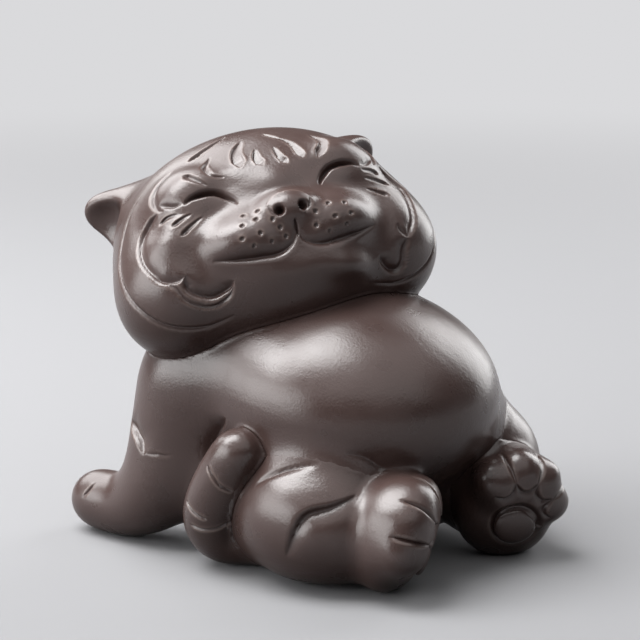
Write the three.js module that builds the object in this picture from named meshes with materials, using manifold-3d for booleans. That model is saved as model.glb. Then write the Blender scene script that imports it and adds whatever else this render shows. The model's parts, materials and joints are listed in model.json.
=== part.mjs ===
// Lounging tiger tea pet in fired stoneware clay: hollow pressed shells for the head and the torso,
// with solid modelled ears, legs, feet, pads and tail luted on with slip. Millimetres, +Z up. The belly
// and feet face -Y, the tiger's left is +X, and the origin lies on the underside of the base, on the
// torso's plane of symmetry.
import * as THREE from "three";
import { mergeVertices } from "three/addons/utils/BufferGeometryUtils.js";
import Module from "manifold-3d";

const wasm = await Module();
wasm.setup();

// Clay body and joints
const SLIP = 0.3; // layer of slip left between two luted pieces
const SHELL_WALL = 4; // wall of the pressed head and torso
const BASE_THICKNESS = 3; // slab that closes the underside
const VENT_DIAMETER = 8; // firing vent through the base slab
const VENT_BACK = 9; // vent behind the origin
const NECK_DIAMETER = 14; // opening that joins the hollow head to the hollow torso
const CLAY_COLOUR = 0x54423c;

// Torso: a leaning belly, a chest and a rump
const BELLY_WIDTH = 53;
const BELLY_DEPTH = 55;
const BELLY_HEIGHT = 37.5;
const BELLY_LEAN = 7; // degrees, front of the belly tipped down
const BELLY_FORWARD = 3.5;
const BELLY_RISE = 29.8;
const CHEST_WIDTH = 47;
const CHEST_DEPTH = 36;
const CHEST_HEIGHT = 37;
const CHEST_BACK = 12.5;
const CHEST_RISE = 33.5;
const RUMP_WIDTH = 50;
const RUMP_DEPTH = 42;
const RUMP_HEIGHT = 31;
const RUMP_BACK = 5;
const RUMP_RISE = 11;
const TORSO_BLEND = 8; // how softly belly, chest and rump run into each other
const TORSO_PARTING = 3; // seam of the two torso shells, behind the origin

// Head, turned to the tiger's right, tipped up and tilted
const HEAD_TURN = 37;
const HEAD_TIP = 32;
const HEAD_TILT = 12;
const HEAD_SIDE = 2.5; // head centre to the tiger's right
const HEAD_SETBACK = 4; // head centre behind the chest's centre
const HEAD_LIFT = 2.5; // head centre above the chest's crown
const SKULL_WIDTH = 55;
const SKULL_DEPTH = 44;
const SKULL_HEIGHT = 41;
const SKULL_BACK = 1; // skull's middle behind and above the head's centre
const SKULL_LIFT = 0.5;
const SKULL_BLEND = 6; // how softly cheeks and chin run into the skull
const CHEEK_SPREAD = 34; // between the two cheeks' centres
const CHEEK_WIDTH = 26;
const CHEEK_HEIGHT = 24;
const CHEEK_FORWARD = 5;
const CHEEK_DROP = 8;
const FACE_SHIFT = 0.6; // middle of the muzzle to the tiger's left of the skull's middle
const MUZZLE_BLEND = 3; // how softly whisker pads and nose run into the face
const MUZZLE_SPREAD = 13.2; // between the two whisker pads' centres
const MUZZLE_WIDTH = 16.4;
const MUZZLE_HEIGHT = 10.6;
const MUZZLE_LENGTH = 12.4;
const MUZZLE_SINK = 3.7; // whisker pads' centres behind the face's plane
const MUZZLE_DROP = 6.2;
const NOSE_WIDTH = 9.2;
const NOSE_HEIGHT = 7.2;
const NOSE_LENGTH = 8;
const NOSE_SINK = 0.5;
const NOSE_DROP = 3.2;
const NOSTRIL_DIAMETER = 2.2;
const NOSTRIL_SPREAD = 4.6;
const NOSTRIL_DROP = 0.6; // below the nose's middle
const EYE_INNER = 6.9; // eye slits: arched grooves, from the inner to the outer corner
const EYE_OUTER = 15.4;
const EYE_RISE = 1;
const EYE_ARCH = 2.6; // top of the arch above the inner corner
const EYE_SLIT = 1.6; // width of the slit
const MOUTH_REACH = 14.2; // mouth grooves, from the middle to each corner
const MOUTH_DROP = 9;
const MOUTH_SAG = 2.2; // lowest point of each lip below the middle
const MOUTH_GROOVE = 1.4; // width of the groove
const CHIN_WIDTH = 28;
const CHIN_HEIGHT = 17;
const CHIN_LENGTH = 20;
const CHIN_FORWARD = 11;
const CHIN_DROP = 13;
const BROW_BEARING = 48.5; // degrees round the head, from the middle of the face to each brow's lobe
const BROW_RISE = 15.5; // degrees above the head's equator
const BROW_REACH = 21; // lobe's centre from the head's centre
const BROW_WIDTH = 13;
const BROW_HEIGHT = 10;
const BROW_THICKNESS = 9;
const BROW_TILT = 10; // degrees, outer ends raised
const BROW_BLEND = 4;
const HEAD_PARTING = 3; // seam of the two head shells, behind the head's centre

// Ears
const EAR_LENGTH = 10;
const EAR_ROOT_RADIUS = 8.2;
const EAR_MIDDLE_RADIUS = 5;
const EAR_TIP_RADIUS = 3;
const EAR_SPREAD = 34.8; // between the two ears' roots
const EAR_SHIFT = 1; // both ears to the tiger's left of the skull's middle
const EAR_BACK = 8.8;
const EAR_RISE = 12.2;
const EAR_UP = 31; // degrees, ear's axis above level
const EAR_SWEEP = 15; // degrees, ear's axis turned back
const EAR_SCOOP_WIDTH = 13;
const EAR_SCOOP_LENGTH = 22;
const EAR_SCOOP_THICKNESS = 12.4;
const EAR_SCOOP_CLEARANCE = 1.2; // scoop's skin in front of the ear's axis
const EAR_SCOOP_DOWN = 37; // degrees, scoop facing below the front

// Forelegs, propped behind the body with the paws pointing back
const SHOULDER_RADIUS = 11.5;
const SHOULDER_INSET = 6.5; // shoulder centre inside the chest's side
const SHOULDER_BACK = 5.5; // shoulder centre behind the chest's centre
const SHOULDER_DROP = 1.5; // shoulder centre below the chest's centre
const UPPER_ARM_RADIUS = 9.5;
const ELBOW_RADIUS = 8.2;
const ELBOW_RISE = 12;
const WRIST_RADIUS = 6;
const WRIST_INSET = 0.5; // wrist inside the paw's line
const WRIST_LIFT = 0.2; // wrist and paw clear of the ground
const FOREPAW_RADIUS = 5.7;
const FOREPAW_LIFT = 0.1;
const FOREPAW_SPREAD = 47; // between the two paws
const FOREPAW_REACH = 21.2; // paw behind the shoulder

// Hind legs, splayed forward with the soles up
const HIP_RADIUS = 11.5;
const HIP_INSET = 10; // hip centre inside the belly's side
const KNEE_RADIUS = 11.9;
const KNEE_INSET = 6.2; // knee centre inside the belly's side
const RIGHT_KNEE_RISE = 12;
const RIGHT_KNEE_SHARE = 0.46; // knee's place from hip to foot
const LEFT_KNEE_RISE = 15.7;
const LEFT_KNEE_SHARE = 0.57;
const ANKLE_RADIUS = 8;
const ANKLE_OUT = 1.5; // ankle centre outside, behind and above the foot's centre
const ANKLE_BACK = 6;
const ANKLE_LIFT = 2.5;
const FOOT_WIDTH = 19.4;
const FOOT_HEIGHT = 21.2;
const FOOT_THICKNESS = 13.6;
const FOOT_SINK = 0.2; // heel pressed flat on the ground
const FOOT_TOE_IN = 28; // degrees, soles turned towards each other
const FOOT_TIP = 10; // degrees, toes tipped forward
const FOOT_ROLL = 15; // degrees, toes leaning outwards
const RIGHT_FOOT_SIDE = 15.5;
const RIGHT_FOOT_REACH = 22.5; // foot centre in front of the belly's centre
const LEFT_FOOT_SIDE = 14.5;
const LEFT_FOOT_REACH = 24;
const TOE_COUNT = 4;
const TOE_WIDTH = 8;
const TOE_LENGTH = 10;
const TOE_THICKNESS = 8;
const TOE_REACH = 6; // toe centre from the middle of the foot
const TOE_FORWARD = 3.4; // toe centre towards the sole
const TOE_FAN = 38; // degrees between neighbouring toes
const TOE_SKEW = 2; // degrees, the row of toes turned outwards
const TOE_BLEND = 2;
const SOLE_PAD_WIDTH = 9;
const SOLE_PAD_HEIGHT = 8;
const SOLE_PAD_THICKNESS = 3;
const SOLE_PAD_SINK = 1.2; // pad's middle below the sole's surface, in a recess
const SOLE_PAD_DROP = 2.2; // pad's middle towards the heel

// Tail, from under the right thigh back along the ground and up the flank
const TAIL_ROOT_RADIUS = 6.5;
const TAIL_BEND_RADIUS = 5.6;
const TAIL_SHANK_RADIUS = 5.3;
const TAIL_TIP_RADIUS = 4.6;
const TAIL_CLEARANCE = 1.5; // tip's centre beyond the belly's side
const TAIL_ROOT_INSET = 14; // root's centre inside the tip's
const TAIL_ROOT_FORWARD = 4;
const TAIL_ROOT_RISE = 8;
const TAIL_BEND_INSET = 5; // lowest point of the path, before it climbs
const TAIL_BEND_BACK = 6.4;
const TAIL_SHANK_INSET = 0.6; // half way up
const TAIL_SHANK_BACK = 5;
const TAIL_SHANK_RISE = 11.8;
const TAIL_TIP_FORWARD = 1.9;
const TAIL_TIP_RISE = 23.3;
const TAIL_RINGS = [0.47, 0.62, 0.83]; // places along the tail
const TAIL_RING_DEPTH = 0.5;
const TAIL_RING_WIDTH = 0.03; // share of the tail's length
const TAIL_STATIONS = 34;

// Mesh fineness: rings from pole to pole and sectors round the axis
const HEAD_RINGS = 26;
const HEAD_SECTORS = 40;
const TORSO_RINGS = 18;
const TORSO_SECTORS = 30;
const HOLLOW_RINGS = 8;
const HOLLOW_SECTORS = 14;
const FOOT_RINGS = 12;
const FOOT_SECTORS = 28;
const EAR_RINGS = 14;
const EAR_SECTORS = 20;
const PAD_RINGS = 8;
const PAD_SECTORS = 18;
const LEG_RINGS = 12;
const LEG_SECTORS = 20;
const BEAD_COUNT = 15;
const LIMB_STATIONS = 10;
const LIMB_SECTORS = 12;
const REACH = 200; // longer than the figure, for cutting planes and rays

const V = (x, y, z) => new THREE.Vector3(x, y, z);
const radians = THREE.MathUtils.degToRad;

// Fields. A field is negative inside a form, zero on its skin and near the true distance elsewhere

/** Turn by degrees about Z, then about the turned X, then about the turned Y. */
function turned(x, y, z) {
  const angles = [x, y, z].map((degrees) => radians(degrees));
  return new THREE.Quaternion().setFromEuler(new THREE.Euler(...angles, "ZXY"));
}

/** Ellipsoid of full size (width, depth, height) about a centre, in a frame turned by a quaternion. */
function ellipsoid(centre, size, turn = new THREE.Quaternion()) {
  const unturn = turn.clone().invert();
  const radii = size.clone().multiplyScalar(0.5);
  return (point) => {
    const local = point.clone().sub(centre).applyQuaternion(unturn).divide(radii);
    const near = local.length();
    const slope = local.divide(radii).length();
    return slope < 1e-9 ? -Math.min(radii.x, radii.y, radii.z) : (near * (near - 1)) / slope;
  };
}

/** Two fields run together, rounded over about the given width. */
function blend(first, second, width) {
  return (point) => {
    const a = first(point);
    const b = second(point);
    const share = Math.max(width - Math.abs(a - b), 0) / width;
    return Math.min(a, b) - (share * share * width) / 4;
  };
}

/** Smooth path and girth through stations {at, radius}, as functions of the share of the way. */
function routeOf(stations) {
  const path = new THREE.CatmullRomCurve3(stations.map((s) => s.at), false, "catmullrom", 0.5);
  const girth = new THREE.CatmullRomCurve3(stations.map((s) => V(s.radius, 0, 0)), false, "catmullrom", 0.5);
  return { path, radiusAt: (t) => girth.getPoint(t).x };
}

/** Round limb: the least distance to spheres set closely along a smooth path. */
function beads(stations) {
  const { path, radiusAt } = routeOf(stations);
  const shares = Array.from({ length: BEAD_COUNT }, (_, k) => k / (BEAD_COUNT - 1));
  const spheres = shares.map((t) => ({ at: path.getPoint(t), radius: radiusAt(t) }));
  return (point) => Math.min(...spheres.map(({ at, radius }) => point.distanceTo(at) - radius));
}

// Geometry from fields and paths

/** Closed indexed geometry from rows of points: each row is a ring, the first and last are single poles. */
function closeRings(rows) {
  const positions = rows.flat().flatMap((p) => [p.x, p.y, p.z]);
  const starts = [0];
  rows.forEach((row) => starts.push(starts.at(-1) + row.length));
  const sectors = rows[1].length;
  const index = [];
  for (let r = 0; r + 1 < rows.length; r++) {
    for (let s = 0; s < sectors; s++) {
      const next = (s + 1) % sectors;
      const a = starts[r] + (rows[r].length > 1 ? s : 0);
      const b = starts[r] + (rows[r].length > 1 ? next : 0);
      const c = starts[r + 1] + (rows[r + 1].length > 1 ? next : 0);
      const d = starts[r + 1] + (rows[r + 1].length > 1 ? s : 0);
      if (c !== d) index.push(a, d, c);
      if (a !== b) index.push(a, c, b);
    }
  }
  const geometry = new THREE.BufferGeometry();
  geometry.setAttribute("position", new THREE.Float32BufferAttribute(positions, 3));
  geometry.setIndex(index);
  return geometry;
}

/** Skin of a star-shaped field: rays fan out from a centre about the pole and stop where field = level. */
function skin(field, centre, pole, rings, sectors, level = 0) {
  const turn = new THREE.Quaternion().setFromUnitVectors(V(0, 0, 1), pole.clone().normalize());
  const onRay = (polar, round) => {
    const ray = new THREE.Vector3().setFromSphericalCoords(1, polar, round);
    const along = V(ray.z, ray.x, ray.y).applyQuaternion(turn);
    let inside = 0;
    let outside = REACH;
    for (let step = 0; step < 40; step++) {
      const middle = (inside + outside) / 2;
      if (field(centre.clone().addScaledVector(along, middle)) < level) inside = middle;
      else outside = middle;
    }
    return centre.clone().addScaledVector(along, outside);
  };
  const rows = [[onRay(0, 0)]];
  for (let r = 1; r < rings; r++) {
    const row = [];
    for (let s = 0; s < sectors; s++) row.push(onRay((Math.PI * r) / rings, (2 * Math.PI * s) / sectors));
    rows.push(row);
  }
  rows.push([onRay(Math.PI, 0)]);
  return closeRings(rows);
}

/** Round section along a smooth path with domed ends; shape may change the radius along the way. */
function limb(stations, { count = LIMB_STATIONS, sectors = LIMB_SECTORS, shape = (r) => r } = {}) {
  const route = routeOf(stations);
  const path = route.path;
  const radiusAt = (t) => shape(route.radiusAt(t), t);
  let side = V(0, 0, 1).cross(path.getTangent(0));
  if (side.lengthSq() < 1e-6) side = V(1, 0, 0);
  const ring = (centre, tangent, radius) => {
    side = side.addScaledVector(tangent, -side.dot(tangent)).normalize();
    const other = side.clone().cross(tangent);
    return Array.from({ length: sectors }, (_, s) => {
      const round = (2 * Math.PI * s) / sectors;
      return centre
        .clone()
        .addScaledVector(side, radius * Math.cos(round))
        .addScaledVector(other, radius * Math.sin(round));
    });
  };
  const dome = [radians(30), radians(60)];
  const domed = (t, outwards) => {
    const tangent = path.getTangent(t);
    const radius = radiusAt(t);
    const place = (lift) => path.getPoint(t).addScaledVector(tangent, outwards * radius * Math.sin(lift));
    const rows = dome.map((lift) => ring(place(lift), tangent, radius * Math.cos(lift)));
    return [...rows, [place(Math.PI / 2)]];
  };
  const rows = domed(0, -1).reverse();
  for (let k = 0; k <= count; k++) {
    const t = k / count;
    rows.push(ring(path.getPoint(t), path.getTangent(t), radiusAt(t)));
  }
  return closeRings([...rows, ...domed(1, 1)]);
}

// Solids

/** A closed geometry as a manifold solid. */
function solidOf(geometry) {
  const bare = geometry.clone();
  bare.deleteAttribute("normal");
  bare.deleteAttribute("uv");
  const merged = mergeVertices(bare, 1e-4);
  const mesh = new wasm.Mesh({
    numProp: 3,
    vertProperties: merged.attributes.position.array,
    triVerts: new Uint32Array(merged.index.array),
  });
  return new wasm.Manifold(mesh);
}

/** The largest body of a solid, without the crumbs that a cut can leave. */
function largest(solid) {
  return solid.decompose().reduce((best, body) => (body.volume() > best.volume() ? body : best));
}

/** A solid as a named three.js mesh in the clay's material. */
function piece(name, solid) {
  const { vertProperties, triVerts } = largest(solid).getMesh();
  const geometry = new THREE.BufferGeometry();
  geometry.setAttribute("position", new THREE.Float32BufferAttribute(vertProperties, 3));
  geometry.setIndex([...triVerts]);
  geometry.computeVertexNormals();
  const material = new THREE.MeshStandardMaterial({ color: CLAY_COLOUR, roughness: 0.5, metalness: 0 });
  const mesh = new THREE.Mesh(geometry, material);
  mesh.name = name;
  return mesh;
}

/** All that lies past a place along an axis for sign +1, or before it for sign -1. */
function beyond(axis, place, sign) {
  const block = new THREE.BoxGeometry(2 * REACH, 2 * REACH, 2 * REACH);
  const shift = axis.clone().multiplyScalar(place + sign * REACH);
  return solidOf(block.translate(shift.x, shift.y, shift.z));
}

/** Round cutter of a given diameter between two points. */
function drill(diameter, from, to) {
  const along = to.clone().sub(from);
  const rod = new THREE.CylinderGeometry(diameter / 2, diameter / 2, along.length(), 16);
  rod.applyQuaternion(new THREE.Quaternion().setFromUnitVectors(V(0, 1, 0), along.clone().normalize()));
  const middle = from.clone().add(to).multiplyScalar(0.5);
  return solidOf(rod.translate(middle.x, middle.y, middle.z));
}

/** A solid carried from a placed group's frame into the figure's frame. */
function placed(solid, group) {
  group.updateMatrix();
  return solid.transform(group.matrix.toArray());
}

const BACKWARDS = V(0, 1, 0);
const UPWARDS = V(0, 0, 1);
const ground = beyond(UPWARDS, 0, 1);

// Torso

const bellyCentre = V(0, -BELLY_FORWARD, BELLY_RISE);
const chestCentre = V(0, CHEST_BACK, CHEST_RISE);
const torsoField = blend(
  blend(
    ellipsoid(bellyCentre, V(BELLY_WIDTH, BELLY_DEPTH, BELLY_HEIGHT), turned(BELLY_LEAN, 0, 0)),
    ellipsoid(chestCentre, V(CHEST_WIDTH, CHEST_DEPTH, CHEST_HEIGHT)),
    TORSO_BLEND,
  ),
  ellipsoid(V(0, RUMP_BACK, RUMP_RISE), V(RUMP_WIDTH, RUMP_DEPTH, RUMP_HEIGHT)),
  TORSO_BLEND,
);

/** The filled torso at a level of its field: SLIP for its seat in neighbours, -SHELL_WALL for its hollow. */
function torsoForm(level, rings = TORSO_RINGS, sectors = TORSO_SECTORS) {
  const heart = V(0, 0, (BELLY_RISE + CHEST_RISE) / 2);
  return solidOf(skin(torsoField, heart, V(0, 0, 1), rings, sectors, level));
}

const torsoSeat = torsoForm(SLIP);

// Head, in its own turned group

const headGroup = new THREE.Group();
headGroup.position.set(-HEAD_SIDE, CHEST_BACK + HEAD_SETBACK, CHEST_RISE + CHEST_HEIGHT / 2 + HEAD_LIFT);
headGroup.quaternion.copy(turned(-HEAD_TIP, -HEAD_TILT, -HEAD_TURN));

const faceDepth = SKULL_DEPTH / 2; // the face's plane in front of the head's centre

/** Skull, cheeks, whisker pads, brows, nose and chin run together; the face looks along the head's own -Y. */
function headField() {
  let form = ellipsoid(V(0, SKULL_BACK, SKULL_LIFT), V(SKULL_WIDTH, SKULL_DEPTH, SKULL_HEIGHT));
  for (const side of [-1, 1]) {
    const cheek = V((side * CHEEK_SPREAD) / 2, -CHEEK_FORWARD, -CHEEK_DROP);
    form = blend(form, ellipsoid(cheek, V(CHEEK_WIDTH, CHEEK_WIDTH, CHEEK_HEIGHT)), SKULL_BLEND);
    const pad = V(FACE_SHIFT + (side * MUZZLE_SPREAD) / 2, MUZZLE_SINK - faceDepth, -MUZZLE_DROP);
    form = blend(form, ellipsoid(pad, V(MUZZLE_WIDTH, MUZZLE_LENGTH, MUZZLE_HEIGHT)), MUZZLE_BLEND);
    const facing = turned(-BROW_RISE, 0, side * BROW_BEARING);
    const brow = V(FACE_SHIFT, 0, 0).add(V(0, -BROW_REACH, 0).applyQuaternion(facing));
    const lobe = V(BROW_WIDTH, BROW_THICKNESS, BROW_HEIGHT);
    form = blend(form, ellipsoid(brow, lobe, facing.multiply(turned(0, side * BROW_TILT, 0))), BROW_BLEND);
  }
  const nose = V(FACE_SHIFT, NOSE_SINK - faceDepth, -NOSE_DROP);
  form = blend(form, ellipsoid(nose, V(NOSE_WIDTH, NOSE_LENGTH, NOSE_HEIGHT)), MUZZLE_BLEND);
  const chin = V(0, -CHIN_FORWARD, -CHIN_DROP);
  return blend(form, ellipsoid(chin, V(CHIN_WIDTH, CHIN_LENGTH, CHIN_HEIGHT)), SKULL_BLEND);
}

const headSkin = headField();

/** The filled head at a level of its field, with its poles at the nose and the back of the head. */
function headForm(level, rings = HEAD_RINGS, sectors = HEAD_SECTORS) {
  return solidOf(skin(headSkin, V(0, 0, 0), V(0, -1, 0), rings, sectors, level));
}

/** The point of the face straight in front of (x, z) in the head's frame. */
function onFace(x, z) {
  let inside = 0;
  let outside = -SKULL_DEPTH;
  for (let step = 0; step < 40; step++) {
    const middle = (inside + outside) / 2;
    if (headSkin(V(x, middle, z)) < 0) inside = middle;
    else outside = middle;
  }
  return V(x, outside, z);
}

/** Tapered round cutter laid along points of the face. */
function groove(points, width) {
  const last = points.length - 1;
  const stations = points.map(([x, z], k) => ({
    at: onFace(x, z),
    radius: (width / 2) * (0.5 + 0.5 * Math.sin((Math.PI * k) / last)),
  }));
  return solidOf(limb(stations, { count: 10, sectors: 8 }));
}

/** Arched slit of one closed eye. */
function eyeSlit(side) {
  const points = [0, 0.25, 0.5, 0.75, 1].map((t) => [
    FACE_SHIFT + side * (EYE_INNER + (EYE_OUTER - EYE_INNER) * t),
    EYE_RISE + EYE_ARCH * (Math.sin(Math.PI * t) * 0.35 + Math.sin((Math.PI / 2) * t)),
  ]);
  return groove(points, EYE_SLIT);
}

/** Groove under one whisker pad, from the middle of the mouth to its corner. */
function lipGroove(side) {
  const points = [0, 0.25, 0.5, 0.75, 1].map((t) => [
    FACE_SHIFT + side * MOUTH_REACH * t,
    -MOUTH_DROP - MOUTH_SAG * Math.sin(Math.PI * t),
  ]);
  return groove(points, MOUTH_GROOVE);
}

const headSeat = headForm(SLIP);
const headSeatPlaced = placed(headSeat, headGroup);

function headShells() {
  const down = V(0, 0, -1).applyQuaternion(headGroup.quaternion.clone().invert());
  const neck = drill(NECK_DIAMETER, V(0, 0, 0), down.multiplyScalar(REACH / 2));
  let shell = headForm(0).subtract(headForm(-SHELL_WALL, HOLLOW_RINGS, HOLLOW_SECTORS)).subtract(neck);
  for (const side of [-1, 1]) {
    const across = FACE_SHIFT + (side * NOSTRIL_SPREAD) / 2;
    const mouth = V(across, -faceDepth - NOSE_LENGTH, -NOSE_DROP - NOSTRIL_DROP);
    shell = shell.subtract(drill(NOSTRIL_DIAMETER, mouth, V(across / 2, 0, 0)));
    shell = shell.subtract(eyeSlit(side)).subtract(lipGroove(side));
  }
  headGroup.add(piece("face_shell", shell.intersect(beyond(BACKWARDS, HEAD_PARTING - SLIP / 2, -1))));
  headGroup.add(piece("head_back_shell", shell.intersect(beyond(BACKWARDS, HEAD_PARTING + SLIP / 2, 1))));
}

function ear(side) {
  const root = V(EAR_SHIFT + (side * EAR_SPREAD) / 2, EAR_BACK, EAR_RISE);
  const lying = turned(0, -side * EAR_UP, side * EAR_SWEEP);
  const outwards = V(side, 0, 0).applyQuaternion(lying);
  const tip = root.clone().addScaledVector(outwards, EAR_LENGTH);
  const middle = root.clone().lerp(tip, 0.6);
  const stations = [
    { at: root, radius: EAR_ROOT_RADIUS },
    { at: middle, radius: EAR_MIDDLE_RADIUS },
    { at: tip, radius: EAR_TIP_RADIUS },
  ];
  const ahead = V(0, -1, 0).applyQuaternion(turned(EAR_SCOOP_DOWN, 0, 0));
  const facing = ahead.addScaledVector(outwards, -ahead.dot(outwards)).normalize();
  const axes = new THREE.Matrix4().makeBasis(outwards, facing, outwards.clone().cross(facing));
  const front = middle.clone().addScaledVector(facing, EAR_SCOOP_CLEARANCE + EAR_SCOOP_THICKNESS / 2);
  const hollow = V(EAR_SCOOP_LENGTH, EAR_SCOOP_THICKNESS, EAR_SCOOP_WIDTH);
  const scoop = ellipsoid(front, hollow, new THREE.Quaternion().setFromRotationMatrix(axes));
  const cone = beads(stations);
  const scooped = (point) => Math.max(cone(point), -scoop(point));
  const heart = middle.addScaledVector(facing, -EAR_MIDDLE_RADIUS / 2);
  const solid = solidOf(skin(scooped, heart, outwards, EAR_RINGS, EAR_SECTORS)).subtract(headSeat);
  return piece(side < 0 ? "right_ear" : "left_ear", solid);
}

// Torso shells and base slab

function torsoShells(figure) {
  const vent = drill(VENT_DIAMETER, V(0, VENT_BACK, -BASE_THICKNESS), V(0, VENT_BACK, 2 * BASE_THICKNESS));
  const whole = torsoForm(0);
  const slab = whole.intersect(ground).intersect(beyond(UPWARDS, BASE_THICKNESS, -1)).subtract(vent);
  figure.add(piece("base_slab", slab));
  const hollow = torsoForm(-SHELL_WALL, HOLLOW_RINGS, HOLLOW_SECTORS);
  const shell = whole
    .intersect(beyond(UPWARDS, BASE_THICKNESS + SLIP, 1))
    .subtract(hollow)
    .subtract(headSeatPlaced);
  figure.add(piece("belly_shell", shell.intersect(beyond(BACKWARDS, TORSO_PARTING - SLIP / 2, -1))));
  figure.add(piece("back_shell", shell.intersect(beyond(BACKWARDS, TORSO_PARTING + SLIP / 2, 1))));
}

// Legs, feet and tail

function forelegStations(side) {
  const shoulder = chestCentre.clone();
  shoulder.add(V(CHEST_WIDTH / 2 - SHOULDER_INSET, SHOULDER_BACK, -SHOULDER_DROP));
  const paw = V(FOREPAW_SPREAD / 2, shoulder.y + FOREPAW_REACH, FOREPAW_RADIUS + FOREPAW_LIFT);
  const elbow = V(shoulder.x + (paw.x - shoulder.x) * 0.7, shoulder.y + FOREPAW_REACH * 0.23, ELBOW_RISE);
  const wrist = V(paw.x - WRIST_INSET, shoulder.y + FOREPAW_REACH * 0.59, WRIST_RADIUS + WRIST_LIFT);
  const upper = shoulder.clone().lerp(elbow, 0.5);
  const rows = [
    { at: shoulder, radius: SHOULDER_RADIUS },
    { at: upper, radius: UPPER_ARM_RADIUS },
    { at: elbow, radius: ELBOW_RADIUS },
    { at: wrist, radius: WRIST_RADIUS },
    { at: paw, radius: FOREPAW_RADIUS },
  ];
  rows.forEach((row) => (row.at.x *= side));
  return rows;
}

function foreleg(side) {
  const solid = solidOf(limb(forelegStations(side)))
    .intersect(ground)
    .subtract(torsoSeat)
    .subtract(headSeatPlaced);
  return piece(side < 0 ? "right_foreleg" : "left_foreleg", solid);
}

const footPlace = (side) =>
  V(
    side < 0 ? -RIGHT_FOOT_SIDE : LEFT_FOOT_SIDE,
    -BELLY_FORWARD - (side < 0 ? RIGHT_FOOT_REACH : LEFT_FOOT_REACH),
    FOOT_HEIGHT / 2 - FOOT_SINK,
  );

function hindLegStations(side) {
  const hip = V(side * (BELLY_WIDTH / 2 - HIP_INSET), 0, HIP_RADIUS);
  const foot = footPlace(side);
  const knee = hip.clone().lerp(foot, side < 0 ? RIGHT_KNEE_SHARE : LEFT_KNEE_SHARE);
  knee.x = side * (BELLY_WIDTH / 2 - KNEE_INSET);
  knee.z = side < 0 ? RIGHT_KNEE_RISE : LEFT_KNEE_RISE;
  const ankle = foot.clone().add(V(side * ANKLE_OUT, ANKLE_BACK, ANKLE_LIFT));
  return [
    { at: hip, radius: HIP_RADIUS },
    { at: knee, radius: KNEE_RADIUS },
    { at: ankle, radius: ANKLE_RADIUS },
  ];
}

/** One filled hind leg at a level of its field, with its poles at hip and ankle. */
function hindLegForm(side, level) {
  const stations = hindLegStations(side);
  const along = stations[2].at.clone().sub(stations[0].at);
  return solidOf(skin(beads(stations), stations[1].at, along, LEG_RINGS, LEG_SECTORS, level));
}

function hindLeg(side) {
  const solid = hindLegForm(side, 0).intersect(ground).subtract(torsoSeat);
  return piece(side < 0 ? "right_hind_leg" : "left_hind_leg", solid);
}

/** Heel and toes run together, in the foot's own frame: the sole faces -Y and the toes point up. */
function footField(side) {
  let form = ellipsoid(V(0, 0, 0), V(FOOT_WIDTH, FOOT_THICKNESS, FOOT_HEIGHT));
  for (let toe = 0; toe < TOE_COUNT; toe++) {
    const fan = turned(0, side * (TOE_SKEW + TOE_FAN * (toe - (TOE_COUNT - 1) / 2)), 0);
    const centre = V(0, -TOE_FORWARD, TOE_REACH).applyQuaternion(fan);
    form = blend(form, ellipsoid(centre, V(TOE_WIDTH, TOE_THICKNESS, TOE_LENGTH), fan), TOE_BLEND);
  }
  return form;
}

function hindFoot(side, figure) {
  const group = new THREE.Group();
  group.position.copy(footPlace(side));
  group.quaternion.copy(turned(FOOT_TIP, side * FOOT_ROLL, -side * FOOT_TOE_IN));
  group.updateMatrix();
  const home = group.matrix.clone().invert().toArray();
  const sole = V(0, -1, 0);
  const form = solidOf(skin(footField(side), V(0, 0, 0), sole, FOOT_RINGS, FOOT_SECTORS));
  const padCentre = V(0, SOLE_PAD_SINK - FOOT_THICKNESS / 2, -SOLE_PAD_DROP);
  const pad = ellipsoid(padCentre, V(SOLE_PAD_WIDTH, SOLE_PAD_THICKNESS, SOLE_PAD_HEIGHT));
  const padForm = (level) => solidOf(skin(pad, padCentre, sole, PAD_RINGS, PAD_SECTORS, level));
  const word = side < 0 ? "right" : "left";
  const solid = form
    .intersect(ground.transform(home))
    .subtract(torsoSeat.transform(home))
    .subtract(hindLegForm(side, SLIP).transform(home))
    .subtract(padForm(SLIP));
  group.add(piece(word + "_hind_foot", solid));
  group.add(piece(word + "_sole_pad", padForm(0).subtract(torsoSeat.transform(home))));
  figure.add(group);
}

function tail(figure) {
  const out = BELLY_WIDTH / 2 + TAIL_CLEARANCE;
  const stations = [
    { at: V(TAIL_ROOT_INSET - out, -TAIL_ROOT_FORWARD, TAIL_ROOT_RISE), radius: TAIL_ROOT_RADIUS },
    { at: V(TAIL_BEND_INSET - out, TAIL_BEND_BACK, TAIL_BEND_RADIUS), radius: TAIL_BEND_RADIUS },
    { at: V(TAIL_SHANK_INSET - out, TAIL_SHANK_BACK, TAIL_SHANK_RISE), radius: TAIL_SHANK_RADIUS },
    { at: V(-out, -TAIL_TIP_FORWARD, TAIL_TIP_RISE), radius: TAIL_TIP_RADIUS },
  ];
  const ringed = (radius, t) => {
    const cuts = TAIL_RINGS.map((place) => Math.exp(-(((2 * (t - place)) / TAIL_RING_WIDTH) ** 2)));
    return radius - TAIL_RING_DEPTH * cuts.reduce((sum, cut) => sum + cut);
  };
  const solid = solidOf(limb(stations, { count: TAIL_STATIONS, sectors: LIMB_SECTORS, shape: ringed }))
    .intersect(ground)
    .subtract(torsoSeat)
    .subtract(hindLegForm(-1, SLIP));
  figure.add(piece("tail", solid));
}

const figure = new THREE.Group();
headShells();
headGroup.add(ear(-1), ear(1));
figure.add(headGroup);
torsoShells(figure);
for (const side of [-1, 1]) {
  figure.add(foreleg(side), hindLeg(side));
  hindFoot(side, figure);
}
tail(figure);

export default figure;
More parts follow.
